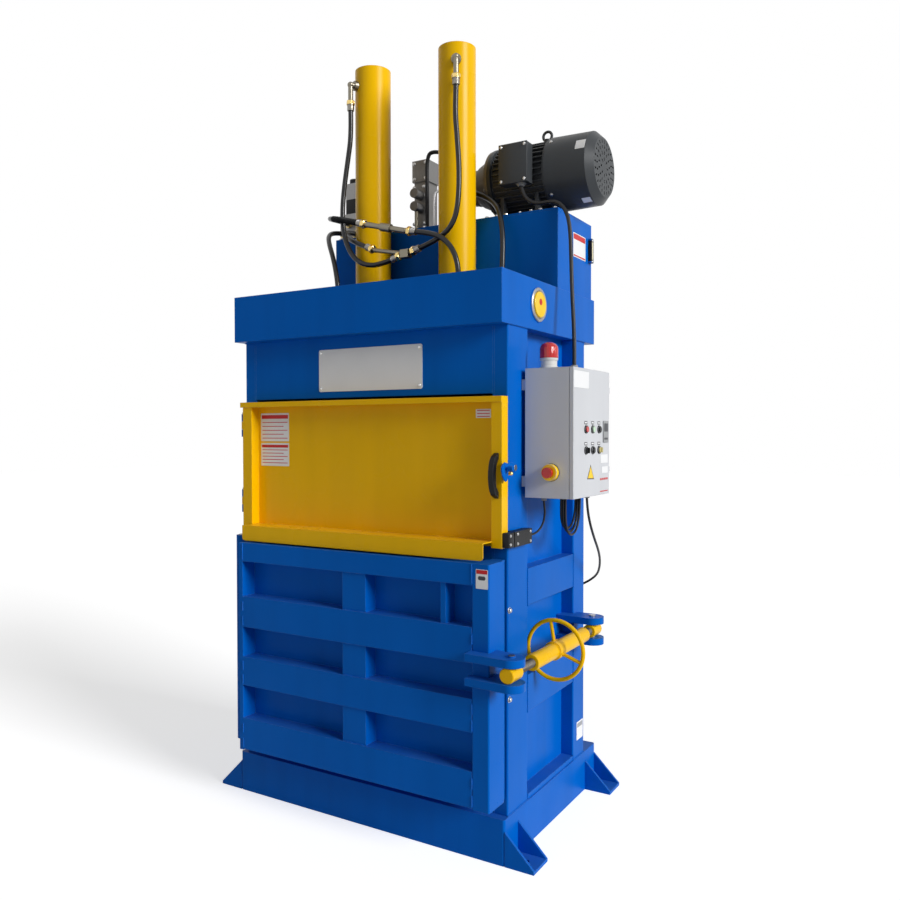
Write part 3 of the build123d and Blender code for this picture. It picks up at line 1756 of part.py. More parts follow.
beacon_x = box_x0 + beacon_out
beacon_y = box_front + beacon_back
dome_foot = box_top + beacon_base_height + rest_gap
with BuildPart() as beacon:
    bar(beacon_x, beacon_y, box_top + beacon_base_height / 2, beacon_base_radius, beacon_base_height, "Z")
    bar(beacon_x, beacon_y, dome_foot + dome_height / 2, dome_radius, dome_height, "Z")
    fillet(beacon.edges().filter_by(GeomType.CIRCLE).sort_by(Axis.Z)[-1], dome_round)
beacon.part.label = "beacon"
export_step(beacon.part, "parts/beacon.step")

# Glands where the cables enter the box, the motor and the rear wall
with BuildPart() as cable_glands:
    for cord_name, last, direction, stop in (
        ("motor_cable", True, Vector(0, 0, -1), box_top),
        ("motor_cable", False, Vector(0, 0, 1), terminal_z - terminal_size[2] / 2),
        ("switch_cable", True, Vector(0, 0, 1), box_bottom),
        ("box_loop_cable", False, Vector(0, 0, 1), box_bottom),
        ("box_loop_cable", True, Vector(0, 0, 1), box_bottom),
        ("rear_cable", False, Vector(0, 0, 1), box_bottom),
        ("rear_cable", True, Vector(0, -1, 0), body_rear),
    ):
        point, way = route_end(cord_name, last)
        reach = abs(stop - (point.Y if direction.Y else point.Z))
        sleeve_along(point, direction, cord_routes[cord_name][0] / 2 + gland_wall, 0, reach)
cable_glands.part.label = "cable_glands"
export_step(cable_glands.part, "parts/cable_glands.step")
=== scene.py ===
"""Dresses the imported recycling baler: finishes, hoses, screws, welds, marks, light and camera."""
import logging
import math
from collections.abc import Iterable, Sequence
from dataclasses import dataclass
from enum import Enum
from typing import ClassVar

import bmesh
import bpy
from mathutils import Matrix, Vector


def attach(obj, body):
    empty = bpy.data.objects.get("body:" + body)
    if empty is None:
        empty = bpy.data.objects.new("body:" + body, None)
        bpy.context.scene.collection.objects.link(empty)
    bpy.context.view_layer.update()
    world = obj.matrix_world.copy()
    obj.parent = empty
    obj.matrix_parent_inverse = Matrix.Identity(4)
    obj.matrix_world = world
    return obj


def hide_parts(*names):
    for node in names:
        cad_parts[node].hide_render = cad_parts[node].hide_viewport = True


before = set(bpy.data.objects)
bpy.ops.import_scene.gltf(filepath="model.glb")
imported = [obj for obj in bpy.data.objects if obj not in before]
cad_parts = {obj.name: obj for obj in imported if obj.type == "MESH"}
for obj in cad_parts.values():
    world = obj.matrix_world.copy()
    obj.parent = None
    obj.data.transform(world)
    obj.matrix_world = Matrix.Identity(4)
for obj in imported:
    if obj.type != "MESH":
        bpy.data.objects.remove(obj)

Flat = tuple[float, float]
Point = tuple[float, float, float]
Places = Sequence[tuple[Point, Point]]
Lines = Sequence[Sequence[Point]]
Ring = list[bmesh.types.BMVert]
Socket = bpy.types.NodeSocket
Source = bpy.types.NodeSocket | bpy.types.Node
Piece = bpy.types.Object
LOG = logging.getLogger("baler")
METRES = 0.001
PI = math.pi
TO_RIGHT, TO_LEFT = (1, 0, 0), (-1, 0, 0)
TO_BACK, TO_FRONT = (0, 1, 0), (0, -1, 0)
UP, DOWN = (0, 0, 1), (0, 0, -1)
FILM = 0.5
INK = 0.2
ROUND_HEAD = 12
GREY_DUST = (0.33, 0.32, 0.3, 1)
OILY_DIRT = (0.2, 0.19, 0.17, 1)
# pale edge colour of the paint: partly worn paint, partly a painted highlight where edges catch the light
WORN_AND_LIT_EDGE = (0.75, 0.78, 0.8, 1)
# pale edge colour of mouldings: partly rubbed, partly a painted highlight where edges catch the light
RUBBED_AND_LIT_EDGE = (0.7, 0.7, 0.7, 1)


def linear(*shares: float) -> Point:
    """Turns a display colour of 0 to 255 into linear light.

    Args:
        shares: red, green and blue on the display.

    Returns:
        The three linear values.
    """
    parts = (share / 255 for share in shares)
    return tuple(s / 12.92 if s <= 0.04045 else ((s + 0.055) / 1.055) ** 2.4 for s in parts)


def polar(centre: Flat, radius: float, angle: float) -> Flat:
    """Returns the point of a circle at an angle in radians."""
    return centre[0] + radius * math.cos(angle), centre[1] + radius * math.sin(angle)


def link(item: Piece) -> Piece:
    """Puts an object into the scene and returns it."""
    bpy.context.scene.collection.objects.link(item)
    return item


class Bench:
    """Adds and links nodes in one node tree."""

    def __init__(self, tree: bpy.types.NodeTree) -> None:
        """Keeps the tree that the nodes go into."""
        self.tree = tree

    @classmethod
    def fresh(cls, owner: bpy.types.ID) -> "Bench":
        """Empties the node tree of a material or world.

        Args:
            owner: the material or world.

        Returns:
            The bench of its tree.
        """
        owner.use_nodes = True
        owner.node_tree.nodes.clear()
        return cls(owner.node_tree)

    def socket(self, label: str, way: str, kind: str) -> bpy.types.NodeTreeInterfaceSocket:
        """Adds a named input or output to the tree."""
        return self.tree.interface.new_socket(name=label, in_out=way, socket_type=f"NodeSocket{kind}")

    def add(self, kind: str, inputs: dict | None = None, **settings: object) -> bpy.types.Node:
        """Adds one node.

        Args:
            kind: Blender's name of the node type.
            inputs: values or sockets by input name or number.
            settings: properties of the node.

        Returns:
            The new node.
        """
        node = self.tree.nodes.new(kind)
        for key, value in settings.items():
            setattr(node, key, value)
        for key, value in (inputs or {}).items():
            self.feed(node.inputs[key], value)
        return node

    def feed(self, socket: Socket, value: object) -> None:
        """Links a socket or a node's first output to an input, or sets the input's own value.

        Args:
            socket: the input.
            value: what it gets.
        """
        if isinstance(value, bpy.types.Node):
            value = value.outputs[0]
        if isinstance(value, bpy.types.NodeSocket):
            self.tree.links.new(value, socket)
        else:
            socket.default_value = value

    def math(self, operation: str, first: object, second: object = 0.0) -> Socket:
        """Adds a Math node and returns its result."""
        return self.add("ShaderNodeMath", {0: first, 1: second}, operation=operation).outputs[0]

    def plus(self, first: object, second: object) -> Socket:
        """Adds two values."""
        return self.math("ADD", first, second)

    def times(self, first: object, second: object) -> Socket:
        """Multiplies two values."""
        return self.math("MULTIPLY", first, second)

    def swing(self, value: object, size: object) -> Socket:
        """Returns how far a value lies from a half, times a size."""
        return self.times(self.math("SUBTRACT", value, 0.5), size)

    def ramp(self, value: object, low: float, high: float, to_low: object, to_high: object) -> Socket:
        """Maps the range from low to high to another, held at both ends."""
        return self.add("ShaderNodeMapRange", {0: value, 1: low, 2: high, 3: to_low, 4: to_high}).outputs[0]

    def blend(self, factor: object, first: object, second: object) -> Socket:
        """Mixes two colours."""
        return self.add("ShaderNodeMix", {0: factor, 6: first, 7: second}, data_type="RGBA").outputs[2]

    def tint(self, colour: object, factor: object) -> Socket:
        """Scales a colour by a factor."""
        return self.add("ShaderNodeVectorMath", {0: colour, 3: factor}, operation="SCALE").outputs[0]

    def noise(self, where: object, scale: object, detail: float = 2.0) -> Socket:
        """Adds a noise texture and returns its value."""
        inputs = {"Vector": where, "Scale": scale, "Detail": detail}
        return self.add("ShaderNodeTexNoise", inputs).outputs[0]

    def stretched(self, where: object, scale: object) -> Socket:
        """Scales coordinates by a vector."""
        return self.add("ShaderNodeVectorMath", {0: where, 1: scale}, operation="MULTIPLY").outputs[0]

    def show(self, shader: bpy.types.Node, kind: str = "ShaderNodeOutputMaterial") -> None:
        """Links a shader to a new output node."""
        self.tree.links.new(shader.outputs[0], self.add(kind).inputs[0])


class Effect(Bench):
    """A shader node group with named inputs, object coordinates, an edge mask for worn edges and painted
    edge highlights, and four outputs.
    """

    def __init__(self, name: str, inputs: dict[str, object]) -> None:
        """Opens the group.

        Args:
            name: the group's name.
            inputs: default of each input by name; four numbers are a colour and three a vector.
        """
        super().__init__(bpy.data.node_groups.new(name, "ShaderNodeTree"))
        for label, value in inputs.items():
            kind = {4: "Color", 3: "Vector"}[len(value)] if isinstance(value, tuple) else "Float"
            self.socket(label, "INPUT", kind).default_value = value
        outputs = {"Colour": "Color", "Roughness": "Float", "Height": "Float", "Normal": "Vector"}
        for label, kind in outputs.items():
            self.socket(label, "OUTPUT", kind)
        self.given = {socket.name: socket for socket in self.add("NodeGroupInput").outputs}
        self.where = self.add("ShaderNodeTexCoord").outputs["Object"]
        self.facing = self.add("ShaderNodeNewGeometry").outputs["Normal"]
        self.normal = self.add("ShaderNodeBevel", {"Radius": self.given["edge_size"]}, samples=4).outputs[0]
        turned = self.add("ShaderNodeVectorMath", {0: self.normal, 1: self.facing}, operation="DOT_PRODUCT")
        # edge mask, used by the finishes to pale or brighten edges: partly wear, partly a painted highlight
        self.edge = self.ramp(turned.outputs["Value"], 0.99, 0.75, 0.0, 1.0)

    def close(self, colour: Socket, roughness: Socket, height: Socket) -> None:
        """Feeds the group's outputs."""
        inputs = {"Colour": colour, "Roughness": roughness, "Height": height, "Normal": self.normal}
        self.add("NodeGroupOutput", inputs)


@dataclass(frozen=True)
class Finish:
    """What all finishes share, with a slot name."""

    name: str
    colour: Point
    slot: str = ""
    roughness: float = 0.5
    edge_size: float = 0.002
    metallic: float = 0.0
    coat: float = 0.0
    coat_roughness: float = 0.08
    shine: float = 0.3
    effect: ClassVar[str] = ""
    inputs: ClassVar[tuple[str, ...]] = ()
    bump: ClassVar[dict[str, float]] = {"Strength": 0.35, "Distance": 0.0006}

    def draw(self, made: Effect) -> None:
        """Draws the nodes of the shared effect."""
        raise NotImplementedError

    def surface(self) -> tuple[bpy.types.NodeTree, dict[str, object]]:
        """Builds the shared effect once.

        Returns:
            The effect's group and the values that this finish gives it.
        """
        values = {"Colour": (*self.colour, 1)} | {label: getattr(self, label) for label in self.inputs}
        found = bpy.data.node_groups.get(self.effect)
        if found is None:
            made = Effect(self.effect, values)
            self.draw(made)
            found = made.tree
        return found, values

    def material(self) -> bpy.types.Material:
        """Builds the finish's material once.

        Returns:
            The material that carries the finish's name.
        """
        found = bpy.data.materials.get(self.name)
        if found:
            return found
        made = bpy.data.materials.new(self.name)
        made.diffuse_color = (*self.colour, 1)
        bench = Bench.fresh(made)
        tree, values = self.surface()
        out = bench.add("ShaderNodeGroup", values, node_tree=tree).outputs
        bump = bench.add("ShaderNodeBump", {**self.bump, "Height": out["Height"], "Normal": out["Normal"]})
        own = {
            "Metallic": self.metallic,
            "Specular IOR Level": self.shine,
            "Coat Weight": self.coat,
            "Coat Roughness": self.coat_roughness,
        }
        shown = {"Base Color": out["Colour"], "Roughness": out["Roughness"], "Normal": bump}
        bench.show(bench.add("ShaderNodeBsdfPrincipled", own | shown))
        return made


@dataclass(frozen=True)
class PaintFinish(Finish):
    """Sprayed gloss or satin paint on sheet steel."""

    roughness: float = 0.32
    edge_size: float = 0.003
    coat_roughness: float = 0.12
    shine: float = 0.14
    drift: float = 0.09
    peel: float = 0.5
    dust: float = 0.25
    # how far edges pale: partly wear, partly a painted highlight
    edge_wear_and_highlight: float = 0.35
    effect: ClassVar[str] = "sprayed coat"
    inputs: ClassVar[tuple[str, ...]] = ("roughness", "drift", "peel", "dust", "edge_wear_and_highlight", "edge_size")

    def draw(self, made: Effect) -> None:
        """Draws shade drift, runs, pale edges that are partly worn paint and partly a painted highlight,
        dust on top faces and orange peel.

        Args:
            made: the open group.
        """
        given, where = made.given, made.where
        broad = made.noise(where, 1.7, 3.0)
        streak = made.noise(made.stretched(where, (11.0, 11.0, 0.8)), 1.0, 3.0)
        drift = made.swing(broad, given["drift"])
        run = made.swing(streak, made.times(given["drift"], 0.8))
        bright = made.plus(made.times(made.plus(drift, run), 3.0), 1.0)
        shade = made.tint(given["Colour"], bright)
        patch = made.ramp(made.noise(where, 42.0, 3.0), 0.35, 0.7, 0.2, 1.0)
        # pale edges: partly worn paint, partly a painted highlight
        wear_and_highlight = made.times(made.times(made.edge, given["edge_wear_and_highlight"]), patch)
        shade = made.blend(wear_and_highlight, shade, made.blend(0.45, given["Colour"], WORN_AND_LIT_EDGE))
        upward = made.add("ShaderNodeSeparateXYZ", {0: made.facing}).outputs[2]
        film = made.ramp(made.noise(where, 7.0, 4.0), 0.3, 0.75, 0.25, 1.0)
        dust = made.times(made.times(made.ramp(upward, 0.55, 0.95, 0.0, 1.0), film), given["dust"])
        smear = made.swing(made.noise(where, 5.0, 4.0), 0.3)
        rough = made.plus(made.plus(given["roughness"], smear), made.times(dust, 0.4))
        peel = made.plus(made.times(made.noise(where, 420.0, 1.0), 0.35), made.noise(where, 26.0, 1.0))
        made.close(made.blend(dust, shade, GREY_DUST), rough, made.times(peel, given["peel"]))


@dataclass(frozen=True)
class MetalFinish(Finish):
    """Bare or plated metal with a machined grain."""

    roughness: float = 0.3
    edge_size: float = 0.0015
    metallic: float = 1.0
    shine: float = 0.5
    stretch: Point = (30.0, 900.0, 900.0)
    depth: float = 0.4
    smudge: float = 0.25
    effect: ClassVar[str] = "machined grain"
    inputs: ClassVar[tuple[str, ...]] = ("roughness", "stretch", "depth", "smudge", "edge_size")

    def draw(self, made: Effect) -> None:
        """Draws fine lines along one axis, a painted highlight on the edges, and smudges.

        Args:
            made: the open group.
        """
        given = made.given
        lines = made.noise(made.stretched(made.where, given["stretch"]), 1.0, 2.0)
        smudge = made.ramp(made.noise(made.where, 14.0, 4.0), 0.4, 0.75, 0.0, 1.0)
        # edges brightened by a quarter: a painted highlight
        tone = made.plus(made.ramp(lines, 0.3, 0.7, 0.88, 1.06), made.times(made.edge, 0.25))
        dull = made.times(smudge, given["smudge"])
        rough = made.plus(made.plus(given["roughness"], made.times(dull, 0.6)), made.swing(lines, 0.12))
        shade = made.blend(dull, made.tint(given["Colour"], tone), OILY_DIRT)
        made.close(shade, rough, made.times(lines, given["depth"]))


@dataclass(frozen=True)
class SkinFinish(Finish):
    """Cast metal, moulded plastic, rubber or printed film."""

    lump_scale: float = 60.0
    pit_scale: float = 700.0
    lump: float = 0.3
    pit: float = 0.3
    drift: float = 0.15
    # how far edges pale: partly rubbing, partly a painted highlight
    edge_wear_and_highlight: float = 0.15
    effect: ClassVar[str] = "cast or moulded skin"
    inputs: ClassVar[tuple[str, ...]] = (
        "roughness", "lump_scale", "pit_scale", "lump", "pit", "drift", "edge_wear_and_highlight", "edge_size",
    )

    def draw(self, made: Effect) -> None:
        """Draws lumps, pits, shade drift and pale edges that are partly rubbed and partly a painted
        highlight.

        Args:
            made: the open group.
        """
        given, where = made.given, made.where
        lump = made.times(made.noise(where, given["lump_scale"], 3.0), given["lump"])
        cells = made.add("ShaderNodeTexVoronoi", {"Vector": where, "Scale": given["pit_scale"]})
        broad = made.swing(made.noise(where, 9.0, 4.0), given["drift"])
        shade = made.tint(given["Colour"], made.plus(made.times(broad, 2.0), 1.0))
        # pale edges: partly rubbed, partly a painted highlight
        wear_and_highlight = made.times(made.edge, given["edge_wear_and_highlight"])
        shade = made.blend(wear_and_highlight, shade, made.blend(0.4, given["Colour"], RUBBED_AND_LIT_EDGE))
        height = made.plus(lump, made.times(cells.outputs["Distance"], given["pit"]))
        made.close(shade, made.plus(given["roughness"], broad), height)


def film(name: str, colour: Point, slot: str, roughness: float = 0.38, drift: float = 0.05) -> SkinFinish:
    """Returns the finish of a smooth printed film."""
    return SkinFinish(name, colour, slot, roughness, pit=0.05, lump=0.15, drift=drift, edge_wear_and_highlight=0.0)


EVEN = (400.0, 400.0, 400.0)
SOFT = (300.0, 300.0, 300.0)
BLUE = PaintFinish(
    "blue gloss paint", linear(0, 97, 192), "blue_paint", 0.34, dust=0.08, edge_wear_and_highlight=0.25, shine=0.05)
YELLOW = PaintFinish(
    "yellow gloss paint", linear(244, 190, 0), "yellow_paint", 0.28,
    drift=0.06, dust=0.08, edge_wear_and_highlight=0.25, shine=0.12)
DARK_GREY = PaintFinish(
    "motor grey paint", linear(62, 65, 68), "grey_paint", 0.42, dust=0.2, drift=0.12, shine=0.2)
BOX_GREY = PaintFinish(
    "pale grey box paint", linear(205, 207, 211), "", 0.45, peel=1.2, drift=0.04, edge_wear_and_highlight=0.1)
STEEL = MetalFinish("bright steel", linear(178, 178, 180), "bright_steel", 0.32)
UPRIGHT_STEEL = MetalFinish(
    "ground block steel", linear(128, 127, 126), "", 0.38, stretch=(500.0, 500.0, 40.0))
CHROME = MetalFinish(
    "hard chrome", linear(225, 226, 230), "", 0.1, stretch=(900.0, 900.0, 25.0), depth=0.1, smudge=0.08)
ZINC = MetalFinish("dull zinc plate", linear(128, 122, 108), "", 0.34, stretch=SOFT, smudge=0.2)
BRASS = MetalFinish("pale brass", linear(224, 196, 128), "zinc", 0.22, stretch=SOFT, smudge=0.1)
THREAD = MetalFinish(
    "oiled thread steel", linear(92, 86, 78), "bright_steel", 0.4, stretch=(200.0, 30.0, 200.0), smudge=0.6)
SCREW = MetalFinish("zinc screw steel", linear(196, 196, 196), "bright_steel", 0.28, stretch=EVEN)
DARK_SCREW = MetalFinish("blackened screw steel", linear(70, 70, 72), "black_plastic", 0.4, stretch=EVEN)
CAST = SkinFinish(
    "cast iron paint", linear(120, 114, 102), "", 0.55,
    lump=1.6, pit=0.9, lump_scale=140.0, drift=0.25, metallic=0.2)
RUBBER = SkinFinish(
    "hose rubber", linear(20, 20, 22), "black_rubber", 0.3,
    lump=0.25, pit=0.2, coat=0.12, drift=0.1, edge_wear_and_highlight=0.0)
CABLE = SkinFinish(
    "cable sheath", linear(30, 30, 32), "black_rubber", 0.42, lump=0.2, pit=0.2, drift=0.1, edge_wear_and_highlight=0.0)
BLACK = SkinFinish("black moulding", linear(20, 21, 23), "black_plastic", 0.42, pit=0.6, shine=0.2)
GREY_PLASTIC = SkinFinish("grey moulding", linear(150, 152, 154), "black_plastic", 0.45, pit=0.4)
PALE_PLASTIC = SkinFinish("pale moulding", linear(214, 214, 210), "box_paint", 0.4)
RED = SkinFinish("red moulding", linear(190, 8, 10), "", 0.25, coat=0.5, pit=0.1, lump=0.1)
RED_LENS = SkinFinish(
    "red beacon lens", linear(196, 10, 12), "red_plastic", 0.14, coat=0.6, pit=0.0, lump=0.1, drift=0.3)
GREEN = SkinFinish("pale green moulding", linear(190, 220, 190), "", 0.3, coat=0.4, pit=0.1)
CREAM = SkinFinish("yellowish moulding", linear(214, 202, 140), "", 0.35, coat=0.2)
STOP_YELLOW = SkinFinish(
    "yellow moulding", linear(250, 206, 10), "yellow_paint", 0.35, coat=0.3, pit=0.2)
OIL = SkinFinish(
    "oil level window", linear(226, 214, 170), "box_paint", 0.12,
    coat=0.8, pit=0.0, lump=0.1, drift=0.3, edge_wear_and_highlight=0.0)
WHITE_PRINT = film("white film", linear(236, 237, 238), "box_paint")
RED_PRINT = film("red film", linear(200, 26, 30), "red_plastic")
DARK_PRINT = film("dark film", linear(58, 60, 66), "black_plastic", 0.4)
YELLOW_PRINT = film("yellow film", linear(248, 206, 20), "yellow_paint")
GREY_PRINT = film("grey film", linear(158, 160, 164), "grey_paint", 0.4, 0.08)


class Body(Enum):
    """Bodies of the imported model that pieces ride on."""

    MACHINE = "machine"
    FEED_DOOR = "feed_door"
    BALE_DOOR = "bale_door"
    HOOK = "hook"
    LOCK_ARM = "lock_arm"
    LOCK_TURNER = "lock_turner"
    LOCK_SCREW = "lock_screw"
    BOX_LID = "box_lid"


class Side(Enum):
    """Flat faces that marks lie on, each by its direction across."""

    FRONT = TO_RIGHT
    RIGHT = TO_BACK


@dataclass(frozen=True)
class Tag:
    """A piece's name, finish and body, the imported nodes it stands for, and a slot unlike its finish's."""

    name: str
    finish: Finish
    body: Body = Body.MACHINE
    replaces: tuple[str, ...] = ()
    slot: str = ""


def settle(piece: Piece, tag: Tag) -> Piece:
    """Hands a finished piece to the frame.

    Args:
        piece: the object, which lies at the origin.
        tag: what it is.

    Returns:
        The same object.
    """
    if piece.name not in bpy.context.scene.collection.objects:
        link(piece)
    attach(piece, tag.body.value)
    if tag.replaces:
        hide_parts(*tag.replaces)
    LOG.info("%s rides on %s", piece.name, tag.body.value)
    return piece


class Shaper:
    """Gathers closed solids, given in millimetres, into one mesh."""

    def __init__(self) -> None:
        """Starts an empty mesh."""
        self.mesh = bmesh.new()

    def box(self, low: Point, high: Point, bevel: float = 0.0) -> None:
        """Adds a box between two corners.

        Args:
            low: its low corner.
            high: its high corner.
            bevel: rounding of its edges.
        """
        made = bmesh.ops.create_cube(self.mesh, size=1.0)["verts"]
        size = Vector(high) - Vector(low)
        middle = (Vector(high) + Vector(low)) / 2
        turn = Matrix.Translation(middle) @ Matrix.Diagonal((*size, 1.0))
        bmesh.ops.transform(self.mesh, matrix=turn, verts=made)
        if bevel:
            edges = list(dict.fromkeys(edge for vert in made for edge in vert.link_edges))
            bmesh.ops.bevel(self.mesh, geom=edges, offset=bevel, segments=2, profile=0.5, affect="EDGES")

    def row(self, places: Iterable[Sequence[float]]) -> Ring:
        """Adds loose points and returns them."""
        return [self.mesh.verts.new(place) for place in places]

    def ring(self, centre: Vector, across: Vector, up: Vector, radius: float, steps: int) -> Ring:
        """Adds the points of one circle, or one point where the radius is nothing.

        Args:
            centre: its middle.
            across: first direction of its plane.
            up: second direction.
            radius: its radius.
            steps: number of points.

        Returns:
            The points.
        """
        if radius <= 0:
            return self.row([centre])
        turns = (polar((0, 0), radius, 2 * PI * i / steps) for i in range(steps))
        return self.row(centre + across * a + up * b for a, b in turns)

    def skin(self, rings: Sequence[Ring], closed: bool = False) -> None:
        """Joins a row of rings by faces.

        Args:
            rings: the rings in order; a ring of one point is a pole.
            closed: whether the last also joins the first.
        """
        pairs = list(zip(rings, rings[1:]))
        if closed:
            pairs.append((rings[-1], rings[0]))
        for first, second in pairs:
            count = max(len(first), len(second))
            for i in range(count if count > 1 else 0):
                j = (i + 1) % count
                corners = ((first, i), (first, j), (second, j), (second, i))
                face = list(dict.fromkeys(ring[k % len(ring)] for ring, k in corners))
                if len(face) > 2:
                    self.mesh.faces.new(face)

    def lathe(self, profile: Sequence[Flat], origin: Point, axis: Point, steps: int = 32) -> None:
        """Adds a turned solid.

        Args:
            profile: reach along the axis and radius, in order, from axis to axis or closed on itself.
            origin: where the reach is nothing.
            axis: direction of the axis.
            steps: points in each circle.
        """
        along = Vector(axis).normalized()
        across = along.orthogonal().normalized()
        up = along.cross(across)
        foot = Vector(origin)
        rings = [self.ring(foot + along * reach, across, up, radius, steps) for reach, radius in profile]
        self.skin(rings, closed=len(rings[0]) > 1)

    def prism(
        self, outline: Sequence[Flat], origin: Point, across: Point, depth: float, up: Point = UP,
    ) -> None:
        """Adds a flat outline with a thickness.

        Args:
            outline: the corners, across and up from the origin.
            origin: where the outline's own origin lies.
            across: direction of its first axis.
            depth: thickness, along the cross product of the two axes.
            up: direction of its second axis.
        """
        lift = Vector(across).cross(Vector(up)) * depth
        places = [Vector(origin) + Vector(across) * a + Vector(up) * b for a, b in outline]
        lower = self.row(places)
        upper = self.row(place + lift for place in places)
        self.mesh.faces.new(lower)
        self.mesh.faces.new(upper)
        for i in range(len(places)):
            j = (i + 1) % len(places)
            self.mesh.faces.new((lower[i], lower[j], upper[j], upper[i]))

    def plate(
        self, side: Side, level: float, low: Flat, high: Flat, lift: float, corner: float = 3.0,
    ) -> None:
        """Adds a flat plate or film with round corners on a face.

        Args:
            side: the face's direction.
            level: the face's place along its own axis.
            low: its low corner, across and up.
            high: its high corner, across and up.
            lift: its thickness.
            corner: radius of its corners.
        """
        left, bottom = low[0] + corner, low[1] + corner
        right, top = high[0] - corner, high[1] - corner
        centres = ((right, top, 0), (left, top, 90), (left, bottom, 180), (right, bottom, 270))
        outline = [
            polar((x, y), corner, math.radians(start + 30 * i)) for x, y, start in centres for i in range(4)
        ]
        across = side.value
        self.prism(outline, (across[1] * level, across[0] * level, 0), across, lift)

    def tube(self, path: Sequence[Point], radius: float, steps: int = 14) -> None:
        """Adds a round bar that follows a path, with flat ends.

        Args:
            path: its middle line.
            radius: its radius.
            steps: points in each circle.
        """
        places = [Vector(place) for place in path]
        along = (places[1] - places[0]).normalized()
        across = along.orthogonal().normalized()
        rings = [self.ring(places[0], across, along.cross(across), 0, steps)]
        for i, place in enumerate(places):
            ahead = places[min(i + 1, len(places) - 1)] - places[max(i - 1, 0)]
            along = ahead.normalized()
            across = (across - along * across.dot(along)).normalized()
            rings.append(self.ring(place, across, along.cross(across), radius, steps))
        rings.append(self.ring(places[-1], across, along.cross(across), 0, steps))
        self.skin(rings)

    def piece(self, tag: Tag, angle: float = 32.0) -> Piece:
        """Turns the gathered solids into an object in metres.

        Args:
            tag: what the piece is.
            angle: edges sharper than this stay sharp.

        Returns:
            The new object.
        """
        bmesh.ops.recalc_face_normals(self.mesh, faces=self.mesh.faces[:])
        bmesh.ops.scale(self.mesh, vec=(METRES,) * 3, verts=self.mesh.verts[:])
        mesh = bpy.data.meshes.new(tag.name)
        self.mesh.to_mesh(mesh)
        self.mesh.free()
        mesh.shade_smooth()
        mesh.set_sharp_from_angle(angle=math.radians(angle))
        mesh.materials.append(tag.finish.material())
        return settle(bpy.data.objects.new(tag.name, mesh), tag)


def bend(points: Sequence[Point], rounds: int = 3) -> list[Point]:
    """Rounds the corners of a pipe's path.

    Args:
        points: the path's corners.
        rounds: how often each corner is cut.

    Returns:
        The path with its corners cut to a curve.
    """
    path = [Vector(point) for point in points]
    for _ in range(rounds):
        cut = [path[0]]
        for first, second in zip(path, path[1:]):
            cut += [first.lerp(second, 0.25), first.lerp(second, 0.75)]
        path = cut + [path[-1]]
    return [tuple(point) for point in path]


def circle(centre: Point, axis: str, radius: float, steps: int = 48) -> list[Point]:
    """Returns the points of a closed circle.

    Args:
        centre: its middle.
        axis: X, Y or Z, the axis that it is square to.
        radius: its radius.
        steps: its sides.

    Returns:
        The points, the first one twice.
    """
    first, second = {"X": (1, 2), "Y": (0, 2), "Z": (0, 1)}[axis]
    points = []
    for i in range(steps + 1):
        place = list(centre)
        place[first], place[second] = polar((place[first], place[second]), radius, 2 * PI * i / steps)
        points.append(tuple(place))
    return points


